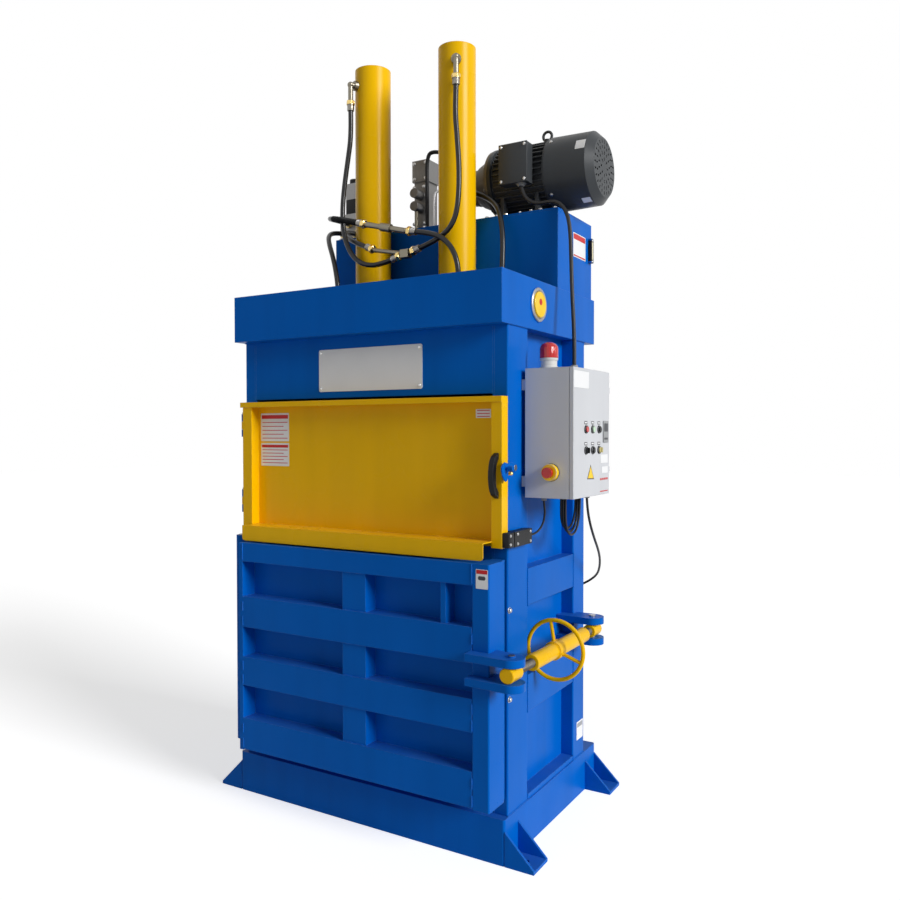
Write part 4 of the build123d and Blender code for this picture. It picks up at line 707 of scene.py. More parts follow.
class RepeatTree(Bench):
    """Geometry Nodes tree that repeats a small shape, and the way it becomes a plain mesh."""

    def __init__(self, name: str, inputs: dict[str, float | int]) -> None:
        """Starts the tree with its named inputs.

        Args:
            name: the tree's name.
            inputs: default of each input by name.
        """
        super().__init__(bpy.data.node_groups.new(name, "GeometryNodeTree"))
        self.socket("Geometry", "INPUT", "Geometry")
        for label, value in inputs.items():
            self.socket(label, "INPUT", "Int" if isinstance(value, int) else "Float").default_value = value
        self.socket("Material", "INPUT", "Material")
        self.socket("Geometry", "OUTPUT", "Geometry")
        self.given = {socket.name: socket for socket in self.add("NodeGroupInput").outputs}

    def spread(self) -> bpy.types.Node:
        """Adds points along the given lines, one pitch apart.

        Returns:
            The node of the points, with their rotation.
        """
        line = self.add("GeometryNodeMeshToCurve", {0: self.given["Geometry"]})
        even = self.add("GeometryNodeResampleCurve", {"Curve": line})
        even.mode = "LENGTH"
        self.feed(even.inputs["Length"], self.given["Pitch"])
        return self.add("GeometryNodeCurveToPoints", {"Curve": even}, mode="EVALUATED")

    def chance(self, least: object, most: object) -> Socket:
        """Returns a seeded random number between two limits, drawn for each point."""
        inputs = {"Seed": self.given["Seed"], 2: least, 3: most}
        return self.add("FunctionNodeRandomValue", inputs, data_type="FLOAT").outputs[1]

    def close(self, points: Source, shape: Source, rotation: Source, **more: Source) -> None:
        """Repeats a shape on points and ends the tree in real faces with the given material.

        Args:
            points: the points.
            shape: what stands on each.
            rotation: how it is turned.
            more: further inputs of the instances.
        """
        inputs = {"Points": points, "Instance": shape, "Rotation": rotation, **more}
        placed = self.add("GeometryNodeInstanceOnPoints", inputs)
        real = self.add("GeometryNodeRealizeInstances", {0: placed})
        dressed = self.add("GeometryNodeSetMaterial", {0: real, "Material": self.given["Material"]})
        self.show(dressed, "NodeGroupOutput")

    def grow(self, base: bpy.types.Mesh, tag: Tag, values: dict, angle: float = 80.0) -> Piece:
        """Runs the tree on a mesh and hands the result to the frame.

        Args:
            base: points or lines that carry the shapes, in metres.
            tag: what the piece is.
            values: values of the tree's inputs by name.
            angle: edges sharper than this stay sharp.

        Returns:
            The new object, a plain mesh.
        """
        carrier = link(bpy.data.objects.new(tag.name + "_carrier", base))
        modifier = carrier.modifiers.new("repeat", "NODES")
        modifier.node_group = self.tree
        items = self.tree.interface.items_tree
        names = {item.name: item.identifier for item in items if item.in_out == "INPUT"}
        for label, value in {**values, "Material": tag.finish.material()}.items():
            modifier[names[label]] = value
        bpy.context.view_layer.update()
        shown = carrier.evaluated_get(bpy.context.evaluated_depsgraph_get())
        mesh = bpy.data.meshes.new_from_object(shown)
        mesh.name = tag.name
        carrier.modifiers.remove(modifier)
        bpy.data.objects.remove(carrier)
        mesh.shade_smooth()
        mesh.set_sharp_from_angle(angle=math.radians(angle))
        return settle(bpy.data.objects.new(tag.name, mesh), tag)

    def follow(self, lines: Lines, tag: Tag, values: dict) -> Piece:
        """Runs the tree on lines.

        Args:
            lines: rows of points in millimetres.
            tag: what the piece is.
            values: values of the tree's inputs by name.

        Returns:
            The new object.
        """
        base = bpy.data.meshes.new(tag.name + "_lines")
        verts, edges = [], []
        for line in lines:
            start = len(verts)
            verts += [tuple(Vector(place) * METRES) for place in line]
            edges += [(i, i + 1) for i in range(start, len(verts) - 1)]
        base.from_pydata(verts, edges, [])
        return self.grow(base, tag, values)


class FastenerTree(RepeatTree):
    """Hexagon heads with washers on points that carry a direction."""

    crown_share: float = 0.82
    washer_share: float = 0.18
    washer_sides: int = 16

    def __init__(self) -> None:
        """Builds the tree: a head with a chamfer on a washer, turned along each point's facing."""
        head = {"Head Radius": 0.009, "Head Height": 0.007, "Sides": 6, "Seed": 3}
        super().__init__("fasteners", {**head, "Washer Radius": 0.012, "Washer Height": 0.0015})
        given = self.given
        radius, height = given["Head Radius"], given["Head Height"]
        crown = self.times(height, self.crown_share)
        head = self.cone(given["Sides"], radius, radius, crown)
        chamfer = self.times(height, 1 - self.crown_share)
        top = self.cone(given["Sides"], self.times(radius, self.crown_share), radius, chamfer)
        both = self.join(head, self.lifted(top, crown))
        rim, thickness = given["Washer Radius"], given["Washer Height"]
        whole = self.join(self.lifted(both, thickness), self.cone(self.washer_sides, rim, rim, thickness))
        facing = self.add("GeometryNodeInputNamedAttribute", {"Name": "facing"}, data_type="FLOAT_VECTOR")
        turned = self.add("FunctionNodeAlignRotationToVector", {"Vector": facing}, axis="Z")
        spin = self.add("ShaderNodeCombineXYZ", {2: self.chance(0.0, PI / 3)})
        inputs = {0: turned, 1: spin}
        rotate = self.add("FunctionNodeRotateRotation", inputs, rotation_space="LOCAL")
        self.close(given["Geometry"], whole, rotate)

    def cone(self, sides: object, top: Socket, bottom: Socket, depth: Socket) -> Socket:
        """Adds a cone or a bar."""
        inputs = {"Vertices": sides, "Radius Top": top, "Radius Bottom": bottom, "Depth": depth}
        return self.add("GeometryNodeMeshCone", inputs).outputs[0]

    def lifted(self, shape: Socket, height: Socket) -> Socket:
        """Lifts a shape."""
        shift = self.add("ShaderNodeCombineXYZ", {2: height}).outputs[0]
        return self.add("GeometryNodeTransform", {"Geometry": shape, "Translation": shift}).outputs[0]

    def join(self, *shapes: Socket) -> Socket:
        """Joins shapes.

        Args:
            shapes: the shapes in order.

        Returns:
            The joined shape.
        """
        joined = self.add("GeometryNodeJoinGeometry")
        for shape in shapes:
            self.tree.links.new(shape, joined.inputs[0])
        return joined.outputs[0]

    def fix(
        self, tag: Tag, places: Places, radius: float, height: float, sides: int = 6, washer: float = 1.3,
    ) -> Piece:
        """Sets fasteners on points.

        Args:
            tag: what the piece is.
            places: foot of each head in millimetres, with the direction that it faces.
            radius: radius of the head over its corners in millimetres.
            height: height of the head in millimetres.
            sides: sides of the head.
            washer: radius of the washer as a share of the head's.

        Returns:
            The new object.
        """
        base = bpy.data.meshes.new(tag.name + "_points")
        base.from_pydata([tuple(Vector(place) * METRES) for place, _ in places], [], [])
        facing = base.attributes.new("facing", "FLOAT_VECTOR", "POINT")
        for i, (_, way) in enumerate(places):
            facing.data[i].vector = Vector(way).normalized()
        values = {
            "Head Radius": radius * METRES,
            "Head Height": height * METRES,
            "Washer Radius": radius * washer * METRES,
            "Washer Height": height * self.washer_share * METRES,
            "Sides": sides,
        }
        return self.grow(base, tag, values, 40.0)


class BeadTree(RepeatTree):
    """Weld beads along lines."""

    pitch_share: float = 1.45
    stretch: float = 1.25

    def __init__(self) -> None:
        """Builds the tree: flattened drops at an even pitch with a seeded spread of sizes."""
        super().__init__("weld beads", {"Pitch": 0.006, "Bead Radius": 0.004, "Spread": 0.2, "Seed": 7})
        given = self.given
        points = self.spread()
        shape = {"Segments": 8, "Rings": 4, "Radius": given["Bead Radius"]}
        drop = self.add("GeometryNodeMeshUVSphere", shape)
        least, most = self.math("SUBTRACT", 1.0, given["Spread"]), self.plus(1.0, given["Spread"])
        width = self.chance(least, most)
        size = self.add("ShaderNodeCombineXYZ", {0: width, 1: width, 2: self.stretch})
        self.close(points, drop, points.outputs["Rotation"], Scale=size)

    def run(self, tag: Tag, lines: Lines, radius: float) -> Piece:
        """Lays weld beads of a radius in millimetres along lines."""
        values = {"Pitch": radius * self.pitch_share * METRES, "Bead Radius": radius * METRES}
        return self.follow(lines, tag, values)


class RingTree(RepeatTree):
    """Rings threaded on a line, such as a spiral guard or the crimps of a ferrule."""

    wire_sides: int = 5

    def __init__(self) -> None:
        """Builds the tree: thin rings at an even pitch, square to the line."""
        sizes = {"Pitch": 0.006, "Ring Radius": 0.012, "Wire Radius": 0.0015}
        super().__init__("rings on a line", {**sizes, "Steps": 16})
        points = self.spread()
        hoop = self.hoop(self.given["Steps"], self.given["Ring Radius"])
        wire = self.hoop(self.wire_sides, self.given["Wire Radius"])
        ring = self.add("GeometryNodeCurveToMesh", {"Curve": hoop, "Profile Curve": wire})
        self.close(points, ring, points.outputs["Rotation"])

    def hoop(self, steps: object, radius: Socket) -> bpy.types.Node:
        """Adds a circle."""
        inputs = {"Resolution": steps, "Radius": radius}
        return self.add("GeometryNodeCurvePrimitiveCircle", inputs, mode="RADIUS")

    def thread(self, tag: Tag, lines: Lines, radius: float, wire: float, pitch: float) -> Piece:
        """Threads rings on lines, with all sizes in millimetres."""
        values = {"Pitch": pitch * METRES, "Ring Radius": radius * METRES, "Wire Radius": wire * METRES}
        return self.follow(lines, tag, values)


@dataclass(frozen=True)
class Tools:
    """The repeat trees that the classes share."""

    fasteners: FastenerTree
    beads: BeadTree
    rings: RingTree


@dataclass
class Assembly:
    """What the sub-assemblies share: the repeat trees and short ways to plain pieces."""

    tools: Tools

    def films(self, tag: Tag, side: Side, rows: Iterable[tuple]) -> None:
        """Makes one piece of plates or films.

        Args:
            tag: what the piece is.
            side: the face that they lie on.
            rows: level, low corner, high corner and thickness of each, and its corner radius if not 3.
        """
        shaper = Shaper()
        for row in rows:
            shaper.plate(side, *row)
        shaper.piece(tag)

    def turned(self, tag: Tag, rows: Iterable[tuple]) -> None:
        """Makes one piece of turned parts.

        Args:
            tag: what the piece is.
            rows: profile, origin, axis and number of steps of each.
        """
        shaper = Shaper()
        for row in rows:
            shaper.lathe(*row)
        shaper.piece(tag)

    def screws(
        self, name: str, places: Places, radius: float, height: float, sides: int = 6,
        body: Body = Body.MACHINE,
    ) -> None:
        """Sets screw heads."""
        self.tools.fasteners.fix(Tag(name, SCREW, body), places, radius, height, sides)


@dataclass(frozen=True)
class Route:
    """One hose or cable in millimetres: its real length and the points of its run."""

    length: float
    points: tuple[Point, ...]
    diameter: float = 22
    stiffness: str = "stiff"
    finish: Finish = RUBBER


ROUTES: dict[str, Route] = {
    "near_hose": Route(762, (
        (272, -140, 3012), (268, -142, 2905), (281, -146, 2795), (294, -152, 2665), (296, -160, 2538),
        (283, -166, 2458), (247, -170, 2408), (182, -171, 2374), (112, -169, 2356))),
    "far_hose": Route(896, (
        (-272, -140, 3012), (-268, -142, 2905), (-283, -146, 2800), (-299, -150, 2695), (-307, -155, 2600),
        (-304, -160, 2510), (-280, -164, 2415), (-232, -167, 2345), (-160, -169, 2309), (-84, -169, 2309),
        (-30, -168, 2323))),
    "right_drop_hose": Route(402, (
        (118, -206, 2416), (185, -208, 2403), (248, -208, 2376), (293, -206, 2328), (316, -202, 2266),
        (316, -196, 2196), (303, -188, 2132))),
    "left_valve_hose": Route(422, (
        (-186, -204, 2492), (-262, -200, 2514), (-338, -182, 2534), (-398, -138, 2552), (-430, -70, 2566),
        (-437, 0, 2573), (-435, 42, 2574))),
    "return_hose": Route(349, (
        (-176, -152, 2396), (-244, -143, 2424), (-303, -118, 2456), (-350, -80, 2486), (-379, -30, 2508),
        (-391, 8, 2518), (-394, 42, 2521))),
    "left_drop_hose": Route(551, (
        (-468, 42, 2530), (-470, -20, 2522), (-452, -78, 2492), (-412, -122, 2442), (-364, -156, 2376),
        (-328, -178, 2300), (-308, -188, 2216), (-303, -188, 2132))),
    "suction_hose": Route(811, (
        (118, 122, 2682), (152, 100, 2668), (196, 86, 2648), (246, 78, 2624), (300, 70, 2598),
        (350, 48, 2562), (392, 14, 2514), (418, -12, 2450), (431, -27, 2374), (434, -36, 2292),
        (431, -41, 2210), (425, -44, 2132), (420, -45, 2062))),
    "motor_cable": Route(924, (
        (470, 63, 2618), (478, 62, 2590), (496, 60, 2562), (524, 57, 2541), (560, 53, 2531),
        (604, 47, 2531), (652, 39, 2521), (690, 30, 2476), (709, 22, 2408), (716, 15, 2320),
        (722, 7, 2225), (730, -4, 2125), (741, -17, 2030), (749, -29, 1945), (753, -37, 1880),
        (754, -40, 1846)), 16, "medium", CABLE),
    "switch_cable": Route(187, (
        (671, -268, 1193), (673, -244, 1194), (679, -219, 1200), (688, -202, 1219), (697, -199, 1246),
        (704, -207, 1274), (708, -219, 1298), (709, -227, 1322)), 8, "medium", CABLE),
    "box_loop_cable": Route(343, (
        (745, -125, 1322), (744, -124, 1282), (742, -118, 1242), (741, -104, 1212), (741, -81, 1192),
        (741, -51, 1186), (742, -22, 1194), (743, 0, 1214), (744, 14, 1246), (745, 19, 1285),
        (745, 20, 1322)), 10, "medium", CABLE),
    "rear_cable": Route(789, (
        (800, -20, 1322), (799, -10, 1272), (794, 34, 1208), (784, 104, 1146), (769, 184, 1094),
        (748, 262, 1046), (722, 330, 998), (690, 388, 952), (644, 424, 916), (594, 418, 888),
        (562, 382, 874), (556, 345, 870)), 10, "medium", CABLE),
}


@dataclass
class CordSet(Assembly):
    """Hoses and cables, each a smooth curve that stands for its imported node, and their trim."""

    spare_radius: float = 4.4
    guard_radius: float = 11.6
    guard_wire: float = 1.7
    guard_pitch: float = 5.0

    def curve(self, node: str, thick: bool) -> Piece:
        """Makes the curve of a route, as a tube or as a bare line.

        Args:
            node: the cord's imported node.
            thick: whether the line gets its thickness.

        Returns:
            The curve object, linked to the scene.
        """
        route = ROUTES[node]
        data = bpy.data.curves.new(node + "_run", "CURVE")
        data.dimensions = "3D"
        data.resolution_u = 10
        spline = data.splines.new("NURBS")
        spline.points.add(len(route.points) - 1)
        for point, place in zip(spline.points, route.points):
            point.co = (*(value / 1000 for value in place), 1.0)
        spline.order_u = 3
        spline.use_endpoint_u = True
        if thick:
            data.bevel_depth = route.diameter / 1000 / 2
            data.bevel_resolution = 5
            data.use_fill_caps = True
            data.materials.append(route.finish.material())
        return link(bpy.data.objects.new(node + "_run", data))

    def read(self, node: str) -> list[Point]:
        """Reads a route's smooth line.

        Args:
            node: the cord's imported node.

        Returns:
            The points of the line in millimetres.
        """
        bare = self.curve(node, thick=False)
        bpy.context.view_layer.update()
        mesh = bpy.data.meshes.new_from_object(bare)
        points = [tuple(vert.co / METRES) for vert in mesh.vertices]
        bpy.data.objects.remove(bare)
        bpy.data.meshes.remove(mesh)
        return points

    def build(self) -> None:
        """Makes all hoses and cables, two spare loops and the guard on one hose."""
        lines = {}
        for node, route in ROUTES.items():
            lines[node] = self.read(node)
            piece = self.curve(node, thick=True)
            settle(piece, Tag(node, route.finish, replaces=(node,)))
        bundle = Shaper()
        loop = lines["box_loop_cable"]
        top = loop[0][2]
        for shift, drop in ((-9.5, 0.9), (9.5, 1.08)):
            path = [(x + shift, y, top + (z - top) * drop) for x, y, z in loop[:-1]]
            bundle.tube(path, self.spare_radius)
        bundle.piece(Tag("spare_loops", CABLE))
        guard = lines["left_valve_hose"]
        third = [guard[: len(guard) // 3]]
        sizes = (self.guard_radius, self.guard_wire, self.guard_pitch)
        self.tools.rings.thread(Tag("hose_guard", BLACK), third, *sizes)


@dataclass
class HoseEnds(Assembly):
    """Hexagon nuts and crimped ferrules where the hoses end."""

    ferrule: float = 26.0
    ferrule_inset: float = 2.0
    sleeve_radius: float = 15.0
    nut_radius: float = 20.0
    nut_height: float = 16.0
    crimp_wire: float = 0.9
    crimp_pitch: float = 4.0

    def ends(self) -> list[tuple[Vector, Vector]]:
        """Finds the free hose ends.

        Returns:
            The place and the outward direction of each.
        """
        found = []
        for node, last in (
            ("near_hose", True), ("far_hose", True), ("right_drop_hose", False), ("left_valve_hose", False),
            ("return_hose", False),
        ):
            points = [Vector(point) for point in ROUTES[node].points]
            if last:
                points.reverse()
            found.append((points[0], (points[0] - points[1]).normalized()))
        for place, way in (((272, -140, 3012), UP), ((303, -188, 2132), DOWN)):
            found += [(Vector((side * place[0], *place[1:])), Vector(way)) for side in (1, -1)]
        return found

    def build(self) -> None:
        """Makes the nuts and the crimps."""
        nuts, crimps = [], []
        for foot, way in self.ends():
            nuts.append((foot + way * self.ferrule, way))
            inset = self.ferrule_inset
            crimps.append([foot + way * reach for reach in (inset, self.ferrule - inset)])
        nuts += [((x, 48, z), TO_BACK) for x, z in ((-435, 2574), (-394, 2521), (-468, 2530))]
        tag = Tag("hose_nuts", BRASS)
        self.tools.fasteners.fix(tag, nuts, self.nut_radius, self.nut_height, washer=0.9)
        sizes = (self.sleeve_radius, self.crimp_wire, self.crimp_pitch)
        self.tools.rings.thread(Tag("ferrule_crimps", STEEL), crimps, *sizes)


class FrameDresser:
    """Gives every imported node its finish, blue paint where none is named."""

    finishes: dict[Finish, str] = {
        YELLOW: "cylinder_glands cylinder_barrels upper_door lock_sleeve handwheel swivel_eye screw_eye",
        CHROME: "piston_rods",
        DARK_GREY: "motor_housing fan_cover",
        CAST: "bell_housing pump",
        UPRIGHT_STEEL: "valve_blocks",
        ZINC: "hose_fittings",
        STEEL: "hinge_pins lifting_sockets",
        BLACK: "motor_fan door_handle interlock_switch raise_button mode_selector lower_button",
        BOX_GREY: "control_box box_door",
        RED: "start_button stop_button",
        GREEN: "light_button",
        CREAM: "key_selector",
        GREY_PLASTIC: "cable_glands",
        RED_LENS: "beacon",
        RUBBER: " ".join(ROUTES),
    }

    def dress(self) -> None:
        """Assigns the finishes and reports each."""
        named = {name: finish for finish, names in self.finishes.items() for name in names.split()}
        for name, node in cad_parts.items():
            finish = named.get(name, BLUE)
            if not node.material_slots:
                node.data.materials.append(finish.material())
            for slot in node.material_slots:
                slot.material = finish.material()
            LOG.info("%s gets %s", name, finish.name)


@dataclass
class PressHead(Assembly):
    """Nameplate, lifting sockets, cylinder bolts and welds of the head."""

    plate_low: Flat = (-231.0, 1750.0)
    plate_high: Flat = (281.0, 1924.0)
    plate_screw_inset: float = 13.0
    panel_front: float = -412.0
    socket_y: float = -167.0
    socket_z: float = 2075.0
    socket_face: float = 656.0
    cylinder_x: float = 220.0
    cylinder_y: float = -43.0
    flange_top: float = 2025.0
    flange_bolt_xs: Flat = (-92.0, 92.0)
    flange_bolt_ys: Flat = (-135.0, 24.0)
    barrel_radius: float = 80.5
    ring_profile: tuple[Flat, ...] = ((0, 0), (0, 66), (5, 66), (8, 63), (8, 55), (4, 51), (4, 0))
    plug_profile: tuple[Flat, ...] = ((4, 0), (4, 49.7), (10.5, 49.7), (12, 48), (12, 0))
    mark_profile: tuple[Flat, ...] = ((12, 0), (12, 13), (12.4, 12.6), (12.4, 0))

    def nameplate(self) -> None:
        """Makes the bare white plate with its screws."""
        low, high, inset = self.plate_low, self.plate_high, self.plate_screw_inset
        self.films(Tag("nameplate", WHITE_PRINT), Side.FRONT, [(self.panel_front, low, high, 2.0, 8.0)])
        xs, zs = (low[0] + inset, high[0] - inset), (low[1] + inset, high[1] - inset)
        places = [((x, self.panel_front - 2, z), TO_FRONT) for x in xs for z in zs]
        self.screws("nameplate_screws", places, 5.5, 3.0, ROUND_HEAD)

    def sockets(self) -> None:
        """Makes the lifting sockets: a turned ring on each side with a yellow plug and its mark."""
        for tag, profile, rise, steps in (
            (Tag("lifting_rings", STEEL, replaces=("lifting_sockets",)), self.ring_profile, 0, 56),
            (Tag("socket_plugs", STOP_YELLOW), self.plug_profile, 0, 56),
            (Tag("socket_marks", RED_PRINT), self.mark_profile, 10, 24),
        ):
            place = (self.socket_face, self.socket_y, self.socket_z + rise)
            self.turned(tag, [
                (profile, (side * place[0], *place[1:]), (side, 0, 0), steps) for side in (-1, 1)
            ])

    def cylinder_trim(self) -> None:
        """Adds the flange bolts and the weld rings of both cylinders."""
        xs = (-self.cylinder_x, self.cylinder_x)
        bolts = [
            ((x + dx, y, self.flange_top), UP)
            for x in xs for dx in self.flange_bolt_xs for y in self.flange_bolt_ys
        ]
        welds = [circle((x, self.cylinder_y, self.flange_top + 1.5), "Z", self.barrel_radius) for x in xs]
        self.screws("flange_bolts", bolts, 12.2, 12.6)
        self.tools.beads.run(Tag("cylinder_welds", YELLOW), welds, 3.4)

    def build(self) -> None:
        """Makes every piece of the head."""
        self.nameplate()
        self.sockets()
        self.cylinder_trim()


@dataclass
class PowerPack(Assembly):
    """Trim of the tank, the motor, the pump and the valves."""

    tank_side: float = 645.7
    gauge_depth: float = 16.6
    lid_top: float = 2503.0
    filler: Flat = (-305.0, 334.7)
    filler_foot: float = 2538.0
    filler_height: float = 30.0
    filler_ribs: int = 24
    motor_y: float = 235.0
    motor_z: float = 2693.0
    terminal_front: float = 31.5
    cover_start: float = 562.0
    cover_length: float = 182.0
    cover_radius: float = 156.0
    cover_taper: float = 4.0
    cover_screws: Flat = (580.0, 155.6)
    flange_bolts: Flat = (273.8, 133.0)
    foot_rise: float = 18.0
    coil: Point = (-440.0, 110.0, 2773.6)

    def gauge(self) -> None:
        """Makes the level gauge: a black frame with round ends and an oil window."""
        depth = self.gauge_depth
        face = self.tank_side + depth
        for tag, row in (
            (Tag("gauge_frame", BLACK), (self.tank_side, (375.6, 2331.6), (402.4, 2438.4), depth, 9.0)),
            (Tag("gauge_window", OIL), (face, (382.5, 2346.0), (395.5, 2424.0), 0.9, 4.0)),
        ):
            self.films(tag, Side.RIGHT, [row])
        places = [((face, 389, z), TO_RIGHT) for z in (2339.5, 2430.5)]
        self.screws("gauge_screws", places, 4.5, 2.5)

    def tank_trim(self) -> None:
        """Adds the lid's bolts, the filler's ribbed cap and the tank's label."""
        places = [((-485 + 159 * i, y, self.lid_top), UP) for i in range(8) for y in (57, 403)]
        self.screws("lid_bolts", places, 7.5, 6.0)
        cap, corners = Shaper(), 4 * self.filler_ribs
        radii = (34.2, 35.6, 35.6, 34.2)
        outline = [polar((0, 0), radii[i % 4], 2 * PI * i / corners) for i in range(corners)]
        cap.prism(outline, (*self.filler, self.filler_foot), TO_RIGHT, self.filler_height, TO_BACK)
        top = (*self.filler, self.filler_foot + self.filler_height)
        cap.lathe(((0, 0), (0, 34), (6, 33), (9.5, 28), (9.5, 0)), top, UP, 40)
        cap.piece(Tag("filler_cap", BLACK))
        label = (self.tank_side, (208, 2332), (346, 2435), FILM)
        self.films(Tag("tank_label", WHITE_PRINT), Side.RIGHT, [label])
        face = self.tank_side + FILM
        bands = [(face, (212, low), (342, high), INK, 2.0) for low, high in ((2408, 2431), (2336, 2342))]
        self.films(Tag("tank_label_bands", RED_PRINT), Side.RIGHT, bands)

    def cover_labels(self) -> None:
        """Makes the curved labels on the fan cover, which narrows towards its end."""
        labels = Shaper()
        for x0, x1, low, high in ((700, 742, 18, 35), (700, 738, -74, -62)):
            rings = []
            for step in range(9):
                spot = math.radians(low + (high - low) * step / 8)
                row = []
                for x, lift in ((x0, 0.0), (x0, FILM), (x1, FILM), (x1, 0.0)):
                    share = (x - self.cover_start) / self.cover_length
                    radius = self.cover_radius - self.cover_taper * share + lift
                    y, z = radius * math.cos(spot), radius * math.sin(spot)
                    row.append((x, self.motor_y - y, self.motor_z + z))
                rings.append(labels.row(row))
            labels.skin(rings)
            labels.mesh.faces.new(rings[0])
            labels.mesh.faces.new(rings[-1])
        labels.piece(Tag("cover_labels", WHITE_PRINT))

    def motor_trim(self) -> None:
        """Adds the terminal box's lid, the cover's labels and screws, and the housing's bolts."""
        front = self.terminal_front
        lid = Shaper()
        lid.box((378.5, front, 2627), (511.5, front + 7.5, 2795), 2.2)
        lid.piece(Tag("terminal_lid", DARK_GREY))
        corners = [((x, front, z), TO_FRONT) for x in (391, 499) for z in (2639, 2783)]
        self.screws("terminal_screws", corners, 5.0, 3.0)
        self.cover_labels()
        screws = []
        x, reach = self.cover_screws
        for angle in (-46, 44, 134, 224):
            spot = math.radians(angle)
            way = (0, -math.cos(spot), math.sin(spot))
            screws.append(((x, self.motor_y + reach * way[1], self.motor_z + reach * way[2]), way))
        self.screws("cover_screws", screws, 6.0, 4.0)
        middle = (self.motor_y, self.motor_z)
        x, reach = self.flange_bolts
        rim = [((x, *polar(middle, reach, 2 * PI * (i + 0.5) / 8)), TO_LEFT) for i in range(8)]
        feet = [(x + dx, y) for x in (350, 514) for y in (115, 355) for dx in (22, -22)]
        rim += [((x, y, self.lid_top + self.foot_rise), UP) for x, y in feet]
        self.screws("housing_bolts", rim, 8.5, 6.5)

    def pipes(self) -> None:
        """Makes the two rigid pipes at the valve block, the coil on it and the valves' screws."""
        for tag, radius, path in (
            (Tag("valve_pipe", BLACK), 9.0, (
                (-62, 163, 2506), (-62, 163, 2700), (-64, 163, 2868), (-20, 163, 2878), (50, 163, 2850),
                (80, 163, 2760), (84, 163, 2506))),
            (Tag("pump_pipe", STEEL), 6.0, (
                (-4, 130, 2503), (-4, 130, 2640), (-2, 134, 2684), (40, 178, 2700))),
        ):
            pipe = Shaper()
            pipe.tube(bend(path), radius)
            pipe.piece(tag)
        coil = Shaper()
        coil.box((-471, 77, 2624), (-409, 143, 2700), 5.0)
        coil.lathe(((0, 0), (0, 25), (20, 25), (24, 22), (24.6, 0)), self.coil, UP, 32)
        coil.piece(Tag("valve_coil", BLACK))
        places = [
            ((x, y, z), TO_FRONT)
            for xs, y, zs in (
                ((-142, -88), 174.8, (2560, 2730)), ((-146, -84), 182.8, (2772, 2844)),
                ((-480, -380), 59.8, (2513, 2612)),
            )
            for x in xs for z in zs
        ]
        self.screws("valve_screws", places, 6.5, 5.0, ROUND_HEAD)

    def build(self) -> None:
        """Makes every piece of the power pack."""
        self.gauge()
        self.tank_trim()
        self.motor_trim()
        self.pipes()


@dataclass
class ChamberBody(Assembly):
    """Welds, bolts and the small label of the press body."""

    side: float = 650.0
    feet_x: float = 655.0
    base_top: float = 170.0
    body_top: float = 1975.0
    front: float = -412.0
    rear: float = 326.0
    recess: Flat = (-245.0, 205.0)
    bands: tuple[Flat, ...] = ((170.0, 190.0), (511.0, 651.0), (920.0, 1060.0))
    foot_ribs: tuple[float, ...] = (-442.5, -333.5, 333.5, 442.5)
    rib_span: Flat = (14.0, 124.0)
    lug_edges: tuple[float, ...] = (691.0, 719.0, 777.0, 805.0)
    lug_span: Flat = (206.0, 243.0)
    socket: Point = (656.0, -167.0, 2075.0)
    socket_radius: float = 66.0

    def welds(self) -> None:
        """Lays the weld beads that join posts, bands, base, feet and lugs."""
        lines: list[list[Point]] = []
        for side in (-1, 1):
            x = side * self.side
            for z0, z1 in self.bands:
                lines += [[(x, y, z0), (x, y, z1)] for y in self.recess]
            for y0, y1 in ((self.front, self.recess[0]), (self.recess[1], self.rear)):
                lines += [[(x, y0, z), (x, y1, z)] for z in (self.base_top, self.body_top)]
            lines += [[(side * self.feet_x, y, z) for z in self.rib_span] for y in self.foot_ribs]
        x, *middle = self.socket
        lines += [circle((side * x, *middle), "X", self.socket_radius) for side in (1, -1)]
        lines += [[(self.side, y, z) for y in self.lug_span] for z in self.lug_edges]
        self.tools.beads.run(Tag("body_welds", BLUE), lines, 3.6)

    def build(self) -> None:
        """Makes the welds, the bolts and the label."""
        self.welds()
        bolts = [((self.side, -400, z), TO_RIGHT) for z in (928, 599)]
        self.screws("body_bolts", bolts, 9.0, 7.0)
        self.films(Tag("body_label", WHITE_PRINT), Side.RIGHT, [(self.side, (245, 242), (315, 321), FILM)])
        band = (self.side + FILM, (251, 296), (309, 314), INK, 1.5)
        self.films(Tag("body_label_band", GREY_PRINT), Side.RIGHT, [band])


